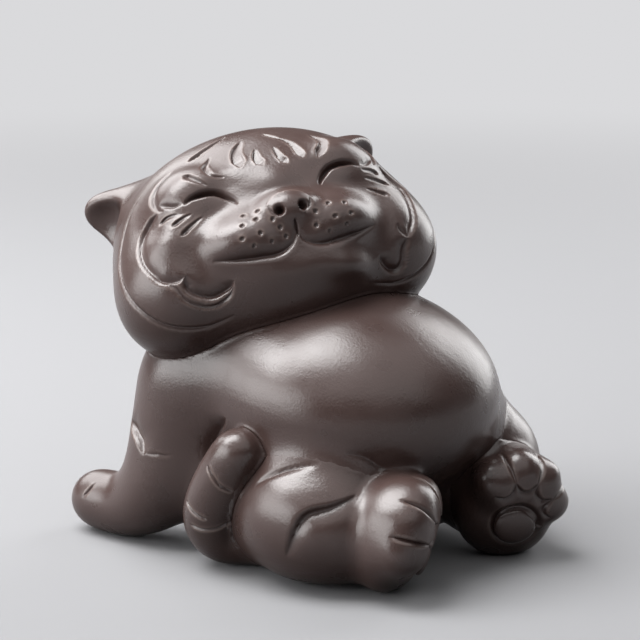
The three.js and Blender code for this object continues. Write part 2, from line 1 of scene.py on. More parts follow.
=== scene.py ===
"""Lounging tiger tea pet in burnished clay: its pressed shells, modelled limbs and hand-cut lines.

Every form is a field in millimetres, negative inside and zero on the skin. A piece of the figure is a
grid of rays, two parameters wide, that stop where the run-together fields of the piece and of its
neighbours reach zero, so that neighbours share one skin and meet in soft valleys. Lines, leaves and dots
are then pressed into that skin. The frame is the part's own: the belly and feet face -Y, the tiger's left
is +X, and the origin lies on the underside of the base.
"""
import json
import logging
import math
from collections.abc import Callable, Iterator, Sequence
from dataclasses import dataclass, field, replace
from enum import Enum, IntEnum
from typing import Any

import bpy
import numpy as np
from mathutils import Matrix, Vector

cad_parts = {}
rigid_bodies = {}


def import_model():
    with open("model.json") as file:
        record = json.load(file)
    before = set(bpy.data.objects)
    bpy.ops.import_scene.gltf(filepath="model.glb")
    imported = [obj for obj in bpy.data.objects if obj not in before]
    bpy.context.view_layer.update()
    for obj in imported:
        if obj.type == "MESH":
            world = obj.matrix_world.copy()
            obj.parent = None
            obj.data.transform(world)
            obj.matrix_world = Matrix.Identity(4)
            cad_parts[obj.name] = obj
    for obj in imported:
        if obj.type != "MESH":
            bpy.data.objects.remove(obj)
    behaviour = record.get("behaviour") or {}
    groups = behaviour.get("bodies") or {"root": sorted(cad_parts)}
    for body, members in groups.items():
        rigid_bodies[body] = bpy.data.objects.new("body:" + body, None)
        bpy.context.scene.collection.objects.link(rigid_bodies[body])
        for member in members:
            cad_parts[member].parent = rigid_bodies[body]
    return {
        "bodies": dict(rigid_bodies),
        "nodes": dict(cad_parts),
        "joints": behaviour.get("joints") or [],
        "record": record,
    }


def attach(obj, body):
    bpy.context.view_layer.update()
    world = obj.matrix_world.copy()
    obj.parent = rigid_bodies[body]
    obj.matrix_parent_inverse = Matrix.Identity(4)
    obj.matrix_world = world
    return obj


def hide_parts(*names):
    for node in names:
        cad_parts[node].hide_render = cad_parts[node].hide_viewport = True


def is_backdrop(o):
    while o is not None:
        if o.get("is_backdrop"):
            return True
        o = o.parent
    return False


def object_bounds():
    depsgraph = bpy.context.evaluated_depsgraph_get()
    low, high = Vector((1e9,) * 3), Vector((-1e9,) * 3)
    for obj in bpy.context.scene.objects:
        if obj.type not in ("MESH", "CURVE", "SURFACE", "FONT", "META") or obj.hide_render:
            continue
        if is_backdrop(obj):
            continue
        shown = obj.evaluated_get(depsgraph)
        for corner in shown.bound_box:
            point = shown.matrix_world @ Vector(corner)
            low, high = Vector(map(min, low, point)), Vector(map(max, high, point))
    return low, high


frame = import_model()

LOG = logging.getLogger("tiger")
MM = 0.001
BODY = "root"
TINY = 1e-6

Array = np.ndarray
Triple = tuple[float, float, float]
Route = tuple[tuple[float, ...], ...]
Span = tuple[float, float]
Lump = tuple[Triple, Triple, float]
Socket = bpy.types.NodeSocket


class Axis(Enum):
    """The three axes of a frame."""

    X = 0
    Y = 1
    Z = 2


class Law(Enum):
    """How the width of a cut runs along its route."""

    LINE = "narrows at both ends"
    LEAF = "from a point to a round end"
    PIT = "a round hole"


class Side(IntEnum):
    """A side of the tiger, as the sign of its X."""

    RIGHT = -1
    LEFT = 1

    @property
    def word(self) -> str:
        """The side's word in the names of pieces."""
        return self.name.lower()


@dataclass(frozen=True)
class Pair:
    """A value for each side of the tiger."""

    right: Any
    left: Any

    def on(self, side: Side) -> Any:
        """The value on one side."""
        return self.right if side is Side.RIGHT else self.left


# Geometry helpers


def unit(vectors: Array) -> Array:
    """Vectors on the last axis, scaled to length one."""
    return vectors / np.maximum(length(vectors)[..., None], 1e-9)


def length(vectors: Array) -> Array:
    """Lengths of the vectors on the last axis."""
    return np.sqrt(np.einsum("...i,...i->...", vectors, vectors))


def turn(axis: Axis, degrees: float) -> Array:
    """Right-handed rotation matrix about one axis.

    Args:
        axis: The axis that stays.
        degrees: The angle.

    Returns:
        A 3 by 3 matrix for column vectors.
    """
    first, second = (axis.value + 1) % 3, (axis.value + 2) % 3
    angle = math.radians(degrees)
    matrix = np.eye(3)
    matrix[first, first] = matrix[second, second] = math.cos(angle)
    matrix[first, second] = -math.sin(angle)
    matrix[second, first] = math.sin(angle)
    return matrix


def smooth_route(points: Array, count: int) -> Array:
    """Even steps of a Catmull-Rom curve: each span is the cubic through its ends with its neighbours' slopes.

    Args:
        points: Rows to pass through; a row may hold a radius after its place.
        count: How many rows to give back.

    Returns:
        The rows along the curve.
    """
    rows = np.vstack([2 * points[0] - points[1], points, 2 * points[-1] - points[-2]])
    spans = len(rows) - 3
    place = np.linspace(0, spans, count)
    first = np.minimum(place.astype(int), spans - 1)
    t = (place - first)[:, None]
    a, b, c, d = (rows[first + k] for k in range(4))
    return 0.5 * (2 * b + (c - a) * t + (2 * a - 5 * b + 4 * c - d) * t**2 + (3 * b - a - 3 * c + d) * t**3)


def run_together(first: Array, second: Array, width: float) -> Array:
    """Union of two fields: the smaller value, less a quarter of the width times the squared share of overlap."""
    share = np.maximum(width - np.abs(first - second), 0) / width
    return np.minimum(first, second) - share * share * (width / 4)


def cut_away(first: Array, second: Array, width: float) -> Array:
    """What two fields share, with the edge between them rounded over a width."""
    return -run_together(-first, -second, width)


# Forms


class Form:
    """A solid given by a field in millimetres."""

    def at(self, points: Array) -> Array:
        """Field values at points."""
        raise NotImplementedError


@dataclass(frozen=True)
class Ovoid(Form):
    """An ellipsoid of full size (width, depth, height), in a frame turned by a matrix."""

    centre: Triple
    size: Triple
    turned: Array | None = None

    def at(self, points: Array) -> Array:
        """Near distance to the skin: k (k - 1) over the slope of k, with k the scaled radius.

        Args:
            points: Where to take the values.

        Returns:
            Field values.
        """
        local = points - np.asarray(self.centre, points.dtype)
        if self.turned is not None:
            local = local @ self.turned.astype(points.dtype)
        radii = np.asarray(self.size, points.dtype) / 2
        scaled = local / radii
        near = length(scaled)
        return near * (near - 1) / np.maximum(length(scaled / radii), TINY)


@dataclass(frozen=True)
class Taper(Form):
    """A round limb: spheres of changing radius along a smooth path. Rows are x, y, z, radius."""

    stations: Route
    steps: int = 28
    softness: float = 0.6

    def path(self, count: int) -> Array:
        """Rows along the smooth path."""
        return smooth_route(np.array(self.stations, float), count)

    def at(self, points: Array) -> Array:
        """Soft least distance to the spheres: minus k times the log of the sum of exp(-distance / k).

        Spheres close together swell such a sum by the number that count at one place, so each radius is
        first made smaller by that much.

        Args:
            points: Where to take the values.

        Returns:
            Field values.
        """
        rows = self.path(self.steps)
        step = length(np.gradient(rows[:, :3], axis=0))
        crowd = np.sqrt(2 * np.pi * rows[:, 3] * self.softness) / step
        radii = rows[:, 3] - self.softness * np.log(np.maximum(crowd, 1))
        squares = (points**2).sum(-1)[..., None] + (rows[:, :3] ** 2).sum(1).astype(points.dtype)
        squares = squares - 2 * points @ rows[:, :3].T.astype(points.dtype)
        gaps = np.sqrt(np.maximum(squares, 0)) - radii.astype(points.dtype)
        least = gaps.min(-1)
        total = np.exp((least[..., None] - gaps) / self.softness).sum(-1)
        return least - self.softness * np.log(total)


@dataclass(frozen=True)
class Cluster(Form):
    """Forms run together one after another, each with its own softness."""

    first: Form
    more: tuple[tuple[Form, float], ...]

    def at(self, points: Array) -> Array:
        """Rounded union of all the forms.

        Args:
            points: Where to take the values.

        Returns:
            Field values.
        """
        value = self.first.at(points)
        for form, width in self.more:
            value = run_together(value, form.at(points), width)
        return value


@dataclass(frozen=True)
class Scooped(Form):
    """A form with another scooped out of it, with a rounded edge."""

    form: Form
    scoop: Form
    width: float

    def at(self, points: Array) -> Array:
        """The form less the scoop."""
        return cut_away(self.form.at(points), -self.scoop.at(points), self.width)


@dataclass(frozen=True)
class Placed(Form):
    """A form given in a turned frame of its own."""

    form: Form
    centre: Triple
    turned: Array

    def inwards(self, points: Array) -> Array:
        """Points of the figure's frame, in the form's own frame."""
        return (points - np.asarray(self.centre, points.dtype)) @ self.turned.astype(points.dtype)

    def outwards(self, points: Array) -> Array:
        """Points of the form's own frame, in the figure's frame."""
        return points @ self.turned.T.astype(points.dtype) + np.asarray(self.centre, points.dtype)

    def at(self, points: Array) -> Array:
        """Field values at points of the figure's frame."""
        return self.form.at(self.inwards(points))


# The whole figure's skin


@dataclass(frozen=True)
class Member:
    """A form of the figure and how softly it runs into those before it."""

    form: Form
    width: float


@dataclass
class Figure:
    """All forms in the order in which they are run together, the head's apart from the body's."""

    body: dict[str, Member]
    head: dict[str, Member]
    neck_width: float = 1.0
    floor_round: float = 0.8

    def fields(self, names: Sequence[str], points: Array) -> dict[str, Array]:
        """Each named form's own values at points."""
        members = {**self.body, **self.head}
        return {name: members[name].form.at(points) for name in members if name in names}

    def groups(self, fields: dict[str, Array]) -> list[Array]:
        """Values of the body's and of the head's named forms, each run together.

        Args:
            fields: Values of each form that counts.

        Returns:
            One array for each group that has such a form.
        """
        parts = []
        for group in (self.body, self.head):
            value = None
            for name, member in group.items():
                if name in fields:
                    own = fields[name]
                    value = own if value is None else run_together(value, own, member.width)
            if value is not None:
                parts.append(value)
        return parts

    def whole(self, fields: dict[str, Array], floor: float, points: Array) -> Array:
        """The skin of the named forms together, cut flat at a floor.

        Args:
            fields: Values of each form that counts.
            floor: Height of the cut.
            points: Where the values were taken.

        Returns:
            Values of the rounded union.
        """
        parts = self.groups(fields)
        value = parts[0] if len(parts) == 1 else run_together(parts[0], parts[1], self.neck_width)
        return cut_away(value, floor - points[..., 2], self.floor_round)


@dataclass
class Skin:
    """One form's share of the figure's skin: it follows the whole on its own side and dives under the rest."""

    figure: Figure
    own: str
    near: tuple[str, ...]
    floor: float = 0.0
    inset: float = 0.0
    dive: float = 0.2
    dive_reach: float = 4.0
    plunge: float = 30.0
    sharp_width: float = 1.75
    margin: float = 2.2
    stride: float = 2.4
    narrowings: int = 6
    least_share: float = 0.02
    probe: float = 0.06
    settle_turns: int = 4
    settle_share: float = 0.9

    def level(self, points: Array) -> Array:
        """Whole skin, pressed in more and more past each valley that parts it from a neighbour.

        Args:
            points: Where to take the values.

        Returns:
            Values that are zero on the piece's skin.
        """
        fields = self.figure.fields((self.own, *self.near), points)
        whole = self.figure.whole(fields, self.floor, points)
        for width, past in self.beyond(fields):
            whole = whole + self.dive * past * (past + self.plunge * max(self.sharp_width - width, 0.0))
        return np.maximum(whole, fields[self.own] - self.margin) + self.inset

    def beyond(self, fields: dict[str, Array]) -> list[tuple[float, Array]]:
        """The valleys that part the piece from its neighbours.

        Args:
            fields: Values of the piece's own form and of its neighbours' forms.

        Returns:
            For each valley, the width of its rounding and how far the points lie past it.
        """
        home, sign = (self.figure.body, 1) if self.own in self.figure.body else (self.figure.head, -1)
        own = fields[self.own]
        gaps = [(min(home[name].width, home[self.own].width), own - value)
                for name, value in fields.items() if name in home and name != self.own]
        if any(name not in home for name in fields):
            body, head = self.figure.groups(fields)
            gaps.append((self.figure.neck_width, sign * (body - head)))
        return [(width, np.clip(gap, 0, self.dive_reach)) for width, gap in gaps]

    def cast(self, origins: Array, rays: Array, reach: float) -> Array:
        """First place along each ray where the skin is crossed from inside.

        Equal strides go out until the value turns positive. That stride is then narrowed by halving it and
        by the straight line between the values at its ends.

        Args:
            origins: Start of each ray, or the one start of all.
            rays: Unit direction of each ray.
            reach: Longest distance.

        Returns:
            The points.
        """
        origins, stride = np.broadcast_to(origins, rays.shape), np.float32(self.stride)
        low = np.zeros(len(rays), np.float32)
        below = self.level(origins)
        above = np.full(len(rays), 1, np.float32)
        going = np.arange(len(rays))
        for step in range(1, int(reach / stride) + 1):
            value = self.level(origins[going] + step * stride * rays[going])
            above[going] = value
            inside = value < 0
            going = going[inside]
            low[going] = step * stride
            below[going] = value[inside]
            if not len(going):
                break
        high = low + stride
        for narrowing in range(self.narrowings):
            share = 0.5
            if narrowing % 3:
                share = below / np.minimum(below - above, -TINY)
                share = np.clip(share, self.least_share, 1 - self.least_share)
            middle = low + share * (high - low)
            value = self.level(origins + middle[:, None] * rays)
            inside = value < 0
            low, below = np.where(inside, middle, low), np.where(inside, value, below)
            high, above = np.where(inside, high, middle), np.where(inside, above, value)
        place = low + np.clip(below / np.minimum(below - above, -TINY), 0, 1) * (high - low)
        return origins + place.astype(np.float32)[:, None] * rays

    def normals(self, points: Array) -> Array:
        """Outward unit normals, from values at the corners of a small tetrahedron about each point.

        Args:
            points: Points of the skin.

        Returns:
            A unit vector for each point.
        """
        corners = np.array([(1, 1, 1), (1, -1, -1), (-1, 1, -1), (-1, -1, 1)], np.float32)
        total = sum(corner * self.level(points + self.probe * corner)[:, None] for corner in corners)
        return unit(total)

    def settle(self, points: Array) -> Array:
        """Points moved onto the skin along its normals.

        Args:
            points: Points near the skin.

        Returns:
            The moved points.
        """
        for _ in range(self.settle_turns):
            points = points - self.normals(points) * self.level(points)[:, None] * self.settle_share
        return points


# Cuts in the skin

# A leaf's round end, how a line and a leaf narrow, and the share of its width that a line keeps at its ends
LEAF_END, LEAF_ROUND, LEAF_POWER = 1.02, 0.14, 0.4
LINE_POWER, END_WIDTH = 0.7, 0.4
# A line's steepness and how much rounder its shoulder is; the least widths that are divided by
STEEPNESS, SHOULDER_ROUND = 1.4, 0.76
LEAST_LINE, LEAST_LEAF = 0.05, 0.1
# Where a burr stands beside a cut's edge, and how wide it is
LINE_EDGE, BURR_GAP, BURR_WIDTH = 0.3, 0.16, 0.22


@dataclass(frozen=True)
class Stroke:
    """One cut of the modelling tool. A route of one point is a round dent.

    The shoulder is the width on the left of the route, where it differs, seen from outside. The ramp makes
    the floor of a leaf fall towards the right of its route.
    """

    route: Route
    depth: float
    width: float
    shoulder: float = 0.0
    lip: float = 0.0
    law: Law = Law.LINE
    fade: float = 0.3
    sharp: float = 1.7
    bank: float = 0.18
    ramp: float = 0.0

    def mirrored(self, middle: float = 0.0) -> "Stroke":
        """The same cut on the other side, with its shoulder on the matching side."""
        route = tuple((2 * middle - first, *rest) for first, *rest in self.route)
        return replace(self, route=route[::-1] if self.shoulder else route)

    def share(self, along: Array) -> Array:
        """Share of the cut's full size at places along its route, by its law.

        Args:
            along: Places along the route, from 0 to 1.

        Returns:
            Shares from 0 to 1.
        """
        if len(self.route) == 1:
            return np.ones_like(along)
        if self.law is Law.LEAF:
            return np.sqrt(np.clip(along, 0, 1)) * np.clip((LEAF_END - along) / LEAF_ROUND, 0, 1) ** LEAF_POWER
        ends = np.minimum(along, 1 - along) / self.fade
        return np.clip(ends, 0, 1) ** LINE_POWER

    def profile(self, gap: Array, along: Array, left: Array) -> tuple[Array, Array]:
        """Depth and burr of the cut: a rounded notch that falls off with distance over width.

        Args:
            gap: Distances from its route.
            along: Place along the route, from 0 to 1.
            left: Whether a point lies on the left of the route.

        Returns:
            Depths, and heights of the burr beside the cut.
        """
        share = self.share(along)
        full = self.width * share
        soft = left & (self.shoulder > 0)
        if self.law is Law.LINE:
            wide = np.where(soft, self.shoulder, self.width) * (END_WIDTH + (1 - END_WIDTH) * share)
            power = np.where(soft, SHOULDER_ROUND * self.sharp, self.sharp)
            notch = np.exp(-STEEPNESS * (gap / np.maximum(wide, LEAST_LINE)) ** power)
            edge = full + LINE_EDGE * self.width
        else:
            ease = np.clip((full + self.bank - gap) / (2 * self.bank), 0, 1)
            across = np.where(left, -gap, gap) / np.maximum(full, LEAST_LEAF)
            notch = ease * ease * (3 - 2 * ease) * (1 + self.ramp * np.clip(across, -1, 1))
            edge = full + self.bank
        burr = np.where(soft, 0, np.exp(-(((gap - edge - BURR_GAP) / BURR_WIDTH) ** 2)))
        return self.depth * share * notch, self.lip * share * burr


@dataclass
class Carving:
    """Strokes laid on a skin, with the points that each follows there."""

    strokes: list[Stroke]
    routes: list[Array]
    pull: float = 0.6
    pull_reach: float = 0.9
    press_margin: float = 1.0
    shoulder_reach: float = 2.5
    width_reach: float = 3.0
    burr_depth: float = 0.15
    # Burr height at which a burr is painted fully lighter, as wear and as a painted glint
    wear_and_glint_height: float = 0.1
    valley_fade: float = 0.3

    def close_to(self, points: Array, margin: float) -> Iterator[tuple[Stroke, Array, Array]]:
        """Each stroke that passes near some points.

        Args:
            points: Points of the skin.
            margin: How near, in millimetres.

        Yields:
            The stroke, its route and the numbers of the points near it.
        """
        for stroke, route in zip(self.strokes, self.routes):
            reach = max(margin, self.shoulder_reach * stroke.shoulder, self.width_reach * stroke.width)
            low, high = route.min(0) - reach, route.max(0) + reach
            near = np.flatnonzero(np.all((points > low) & (points < high), axis=1))
            if len(near):
                yield stroke, route, near

    def gather(self, points: Array, normals: Array) -> Array:
        """Points drawn along the skin towards the cuts, so that the grid is fine where lines run.

        A point at a distance d from a cut's edge moves by a share of d that fades as a bell.

        Args:
            points: Points of the skin.
            normals: Their outward normals.

        Returns:
            The moved points.
        """
        points = points.copy()
        for stroke, route, near in self.close_to(points, 3 * self.pull_reach):
            gap, along, _ = follow(route, points[near], normals[near])
            flat = gap - normals[near] * np.einsum("vi,vi->v", gap, normals[near])[:, None]
            distance = np.maximum(length(flat), 1e-4)
            edge = 0 if stroke.law is Law.LINE else stroke.width * stroke.share(along)
            beyond = distance - edge
            pull = self.pull * beyond * np.exp(-((beyond / self.pull_reach) ** 2))
            points[near] -= (flat * (pull / distance)[:, None]).astype(points.dtype)
        return points

    def press(self, points: Array, normals: Array) -> tuple[Array, Array]:
        """How far each point is pressed in or raised, and how much its burr is painted lighter, partly as wear and
        partly as a painted glint.

        Args:
            points: Points of the skin.
            normals: Their outward normals.

        Returns:
            Offsets along the normals, and the burrs' share of wear and painted glint from 0 to 1.
        """
        cut = np.zeros(len(points), np.float32)
        lip = np.zeros(len(points), np.float32)
        for stroke, route, near in self.close_to(points, self.press_margin):
            gap, along, left = follow(route, points[near], normals[near])
            deep, raised = stroke.profile(length(gap), along, left)
            cut[near] = np.maximum(cut[near], deep)
            lip[near] = np.maximum(lip[near], raised)
        lip *= np.clip(1 - cut / self.burr_depth, 0, 1)
        # The burr's share paints it lighter: part wear, part painted glint on its ridge.
        return lip - cut, np.clip(lip / self.wear_and_glint_height, 0, 1)

    def carve(self, skin: Skin, points: Array) -> tuple[Array, Array]:
        """Points of a skin gathered along the cuts and pressed in there.

        Args:
            skin: The skin.
            points: Its points.

        Returns:
            The new points and their share of wear and painted glint.
        """
        points = self.gather(points, skin.normals(points))
        normals = skin.normals(points)
        offset, wear_and_glint = self.press(points, normals)
        for _, past in skin.beyond(skin.figure.fields((skin.own, *skin.near), points)):
            offset = np.where(offset > 0, offset * np.clip(1 - past / self.valley_fade, 0, 1), offset)
        return points + normals * offset[:, None], wear_and_glint


def follow(route: Array, points: Array, normals: Array) -> tuple[Array, Array, Array]:
    """Where points lie beside a route.

    Args:
        route: Points along the route.
        points: Points of the skin.
        normals: Their outward normals.

    Returns:
        Step from the route to each point, place along it from 0 to 1, and whether the point lies on its left.
    """
    if len(route) == 1:
        return points - route[0], np.zeros(len(points), np.float32), np.zeros(len(points), bool)
    start, span = route[:-1], np.diff(route, axis=0)
    offset = points[:, None, :] - start[None]
    share = np.clip(np.einsum("vsi,si->vs", offset, span) / np.maximum((span**2).sum(1), 1e-9), 0, 1)
    gap = offset - share[..., None] * span
    best = np.argmin((gap**2).sum(-1), axis=1)
    rows = np.arange(len(points))
    steps = np.concatenate([[0], np.cumsum(length(span))])
    along = (steps[best] + share[rows, best] * length(span)[best]) / steps[-1]
    side = np.einsum("vi,vi->v", np.cross(span[best], gap[rows, best]), normals)
    return gap[rows, best], along.astype(np.float32), side > 0


# Grids of rays

# Directions that no axis of a round piece and no start of a limb runs along
GLOBE_UP, LIMB_UP = (0.31, 0.17, 0.94), (0.2, 0.1, 0.97)


@dataclass
class Mesh:
    """Vertices in millimetres with quads and triangles, wear and painted glint at each vertex, and the vertices of a
    sharp rim.
    """

    vertices: Array
    quads: Array
    triangles: Array
    wear_and_glint: Array
    rim: Array = field(default_factory=lambda: np.zeros(0, np.int32))

    def corners(self, faces: Array) -> list[Array]:
        """Places of the first corners of some faces, of their second corners and so on."""
        return [self.vertices[faces[:, k]].astype(np.float64) for k in range(faces.shape[1])]

    def outwards(self) -> "Mesh":
        """The same mesh with its faces turned outwards, by the sign of the volume that they close in.

        Returns:
            This mesh, or a copy with its faces turned over.
        """
        quads, triangles = self.quads, self.triangles
        a, b, c = self.corners(np.vstack([triangles, quads[:, [0, 1, 2]], quads[:, [0, 2, 3]]]))
        if np.einsum("ij,ij->", np.cross(a, b), c) >= 0:
            return self
        return replace(self, quads=quads[:, ::-1], triangles=triangles[:, ::-1])

    def normals(self) -> Array:
        """Unit normals at the vertices, from the quads alone, so that the wall at a rim doesn't tilt them.

        Returns:
            A unit vector for each vertex.
        """
        a, b, c, d = self.corners(self.quads)
        facets = np.repeat(np.cross(c - a, d - b), 4, axis=0)
        numbers = self.quads.ravel()
        return unit(np.stack([np.bincount(numbers, facet, len(self.vertices)) for facet in facets.T], 1))

    def data(self, name: str) -> bpy.types.Mesh:
        """The mesh as Blender's own, in metres.

        Args:
            name: Its name.

        Returns:
            The new mesh.
        """
        data = bpy.data.meshes.new(name)
        data.vertices.add(len(self.vertices))
        data.vertices.foreach_set("co", (self.vertices.astype(np.float64) * MM).astype(np.float32).ravel())
        numbers = np.concatenate([self.quads.ravel(), self.triangles.ravel()])
        data.loops.add(len(numbers))
        data.loops.foreach_set("vertex_index", numbers.astype(np.int32))
        starts = 4 * np.arange(len(self.quads)), self.quads.size + 3 * np.arange(len(self.triangles))
        data.polygons.add(len(self.quads) + len(self.triangles))
        data.polygons.foreach_set("loop_start", np.concatenate(starts).astype(np.int32))
        data.update(calc_edges=True)
        data.validate()
        return data


def ring_faces(rows: int, sectors: int) -> tuple[Array, Array]:
    """Faces of rings between two poles. Vertex 0 is the first pole, then the rings, then the last pole.

    Args:
        rows: Number of rings.
        sectors: Points on a ring.

    Returns:
        Quads and triangles.
    """
    ring = 1 + np.arange(rows * sectors).reshape(rows, sectors)
    onward = np.roll(ring, -1, axis=1)
    quads = np.stack([ring[:-1], ring[1:], onward[1:], onward[:-1]], -1).reshape(-1, 4)
    last = rows * sectors + 1
    start = np.stack([np.zeros(sectors, int), ring[0], onward[0]], -1)
    end = np.stack([np.full(sectors, last), onward[-1], ring[-1]], -1)
    return quads, np.vstack([start, end])


def globe_rays(axis: Array, rows: int, sectors: int) -> Array:
    """Directions from one pole along an axis to the other, ring by ring.

    Args:
        axis: Direction of the first pole.
        rows: Rings between the poles.
        sectors: Rays on a ring.

    Returns:
        Unit directions, poles first and last.
    """
    axis = unit(np.asarray(axis, float))
    side = unit(np.cross(axis, GLOBE_UP))
    other = np.cross(axis, side)
    polar = np.pi * np.arange(1, rows + 1)[:, None, None] / (rows + 1)
    round_ = 2 * np.pi * np.arange(sectors)[None, :, None] / sectors
    rings = axis * np.cos(polar) + (side * np.cos(round_) + other * np.sin(round_)) * np.sin(polar)
    return np.vstack([axis, rings.reshape(-1, 3), -axis]).astype(np.float32)


def limb_rays(path: Array, sectors: int, dome: int) -> tuple[Array, Array, int]:
    """Rays round a path, square to it, with a fan of rings over each end.

    Args:
        path: Points along the path.
        sectors: Rays on a ring.
        dome: Rings over each end.

    Returns:
        Origins, unit directions and the number of rings.
    """
    tangents = unit(np.gradient(path, axis=0))
    side = unit(np.cross(tangents[0], LIMB_UP))
    sides = []
    for tangent in tangents:
        side = unit(side - tangent * (side @ tangent))
        sides.append(side)
    sides = np.array(sides)
    lifts = np.linspace(0, np.pi / 2, dome + 1)[1:-1]
    order = [0] * len(lifts) + list(range(len(path))) + [len(path) - 1] * len(lifts)
    tip = np.concatenate([-lifts[::-1], np.zeros(len(path)), lifts])[:, None, None]
    tangent, first = tangents[order][:, None, :], sides[order][:, None, :]
    other = np.cross(tangent, first)
    round_ = 2 * np.pi * np.arange(sectors)[None, :, None] / sectors
    rings = (first * np.cos(round_) + other * np.sin(round_)) * np.cos(tip) + tangent * np.sin(tip)
    starts = np.repeat(path[order], sectors, axis=0)
    rays = np.vstack([-tangents[0], rings.reshape(-1, 3), tangents[-1]])
    origins = np.vstack([path[0], starts, path[-1]])
    return origins.astype(np.float32), rays.astype(np.float32), len(order)


def disc_rays(axis: Array, across: Array, count: int, spread: float, crowd: float) -> Array:
    """Rays of a cap about an axis, on a square grid whose nested squares are drawn round.

    The bearing runs evenly along each square's side, and the angle from the axis grows with the square's
    size, slower near the axis where rays crowd.

    Args:
        axis: Middle of the cap.
        across: A direction square to the axis.
        count: Rays along one side of the grid.
        spread: Angle from the axis to the rim, in radians.
        crowd: Share by which the middle is finer than an even grid.

    Returns:
        Unit directions, row by row.
    """
    line = np.linspace(-1, 1, count)
    a, b = np.meshgrid(line, line, indexing="ij")
    level = np.abs(a) >= np.abs(b)
    size = np.where(level, a, b)
    safe = np.where(size == 0, 1, size)
    bearing = np.where(level, np.pi / 4 * b / safe, np.pi / 2 - np.pi / 4 * a / safe)
    x, y = size * np.cos(bearing), size * np.sin(bearing)
    radius = np.hypot(x, y)
    polar = spread * radius * (1 - crowd + crowd * radius)
    scale = np.where(radius == 0, 0, np.sin(polar) / np.maximum(radius, 1e-9))[..., None]
    axis, across = unit(np.asarray(axis, float)), unit(np.asarray(across, float))
    other = np.cross(axis, across)
    rays = axis * np.cos(polar)[..., None] + (across * x[..., None] + other * y[..., None]) * scale
    return rays.reshape(-1, 3).astype(np.float32)


def rim(count: int, start: int) -> Array:
    """Vertex numbers round the edge of a square grid, in one sense, from its first corner."""
    grid = start + np.arange(count * count).reshape(count, count)
    return np.concatenate([grid[:-1, 0], grid[-1, :-1], grid[:0:-1, -1], grid[0, :0:-1]])


def shell_mesh(outer: Array, inner: Array, wear_and_glint: Array) -> Mesh:
    """Closed half shell from an outer and a coarser inner grid, joined at their rims.

    Args:
        outer: Points of the outer square grid.
        inner: Points of the inner square grid, whose step is a whole multiple of the outer one.
        wear_and_glint: Share of wear and painted glint at the outer points.

    Returns:
        The mesh.
    """
    fine, coarse = (int(round(math.sqrt(len(grid)))) for grid in (outer, inner))
    quads = []
    for count, start, flip in ((fine, 0, 1), (coarse, len(outer), -1)):
        grid = start + np.arange(count * count).reshape(count, count)
        cells = np.stack([grid[:-1, :-1], grid[1:, :-1], grid[1:, 1:], grid[:-1, 1:]], -1)
        quads.append(cells[..., ::flip].reshape(-1, 4))
    ratio = (fine - 1) // (coarse - 1)
    edge, inside = rim(fine, 0), rim(coarse, len(outer))
    partner = inside[np.arange(len(edge)) // ratio]
    fans = np.stack([np.roll(edge, -1), edge, partner], -1)
    wedges = np.stack([inside, np.roll(inside, -1), np.roll(edge[::ratio], -1)], -1)
    return Mesh(
        np.vstack([outer, inner]),
        np.vstack(quads),
        np.vstack([fans, wedges]),
        np.concatenate([wear_and_glint, np.zeros(len(inner), np.float32)]),
        edge,
    )


# The clay


@dataclass
class Nodes:
    """A short way to add nodes to a material's tree."""

    tree: bpy.types.NodeTree

    def add(
        self, kind: str, output: str | int, inputs: dict[str | int, Any] | None = None, **settings: str,
    ) -> Socket:
        """Adds a node and fills its inputs.

        Args:
            kind: The node's type.
            output: The output to give back.
            inputs: For each input, a value to set or a socket to link.
            settings: The node's own settings.

        Returns:
            The output's socket.
        """
        node = self.tree.nodes.new(kind)
        for word, value in settings.items():
            setattr(node, word, value)
        for key, value in (inputs or {}).items():
            if isinstance(value, Socket):
                self.tree.links.new(value, node.inputs[key])
            else:
                node.inputs[key].default_value = value
        return node.outputs[output]

    def fill(self, node: str, inputs: dict[str, Socket]) -> None:
        """Links sockets to the inputs of a node that is there already."""
        for key, socket in inputs.items():
            self.tree.links.new(socket, self.tree.nodes[node].inputs[key])

    def noise(self, place: Socket, scale: float, detail: float) -> Socket:
        """A noise's value, by its cells in a metre and its octaves."""
        return self.add("ShaderNodeTexNoise", "Fac", {"Vector": place, "Scale": scale, "Detail": detail})

    def mix(self, share: Socket, first: Any, second: Any) -> Socket:
        """Two colours, or colour sockets, mixed by the second's share. Inputs 6 and 7 and output 2 are colours."""
        return self.add("ShaderNodeMix", 2, {"Factor": share, 6: first, 7: second}, data_type="RGBA")

    def spread(self, value: Socket, span: Span, limits: Span) -> Socket:
        """A value of a span, spread between limits."""
        words = ("From Min", "From Max", "To Min", "To Max")
        return self.add("ShaderNodeMapRange", "Result", {"Value": value, **dict(zip(words, (*span, *limits)))})


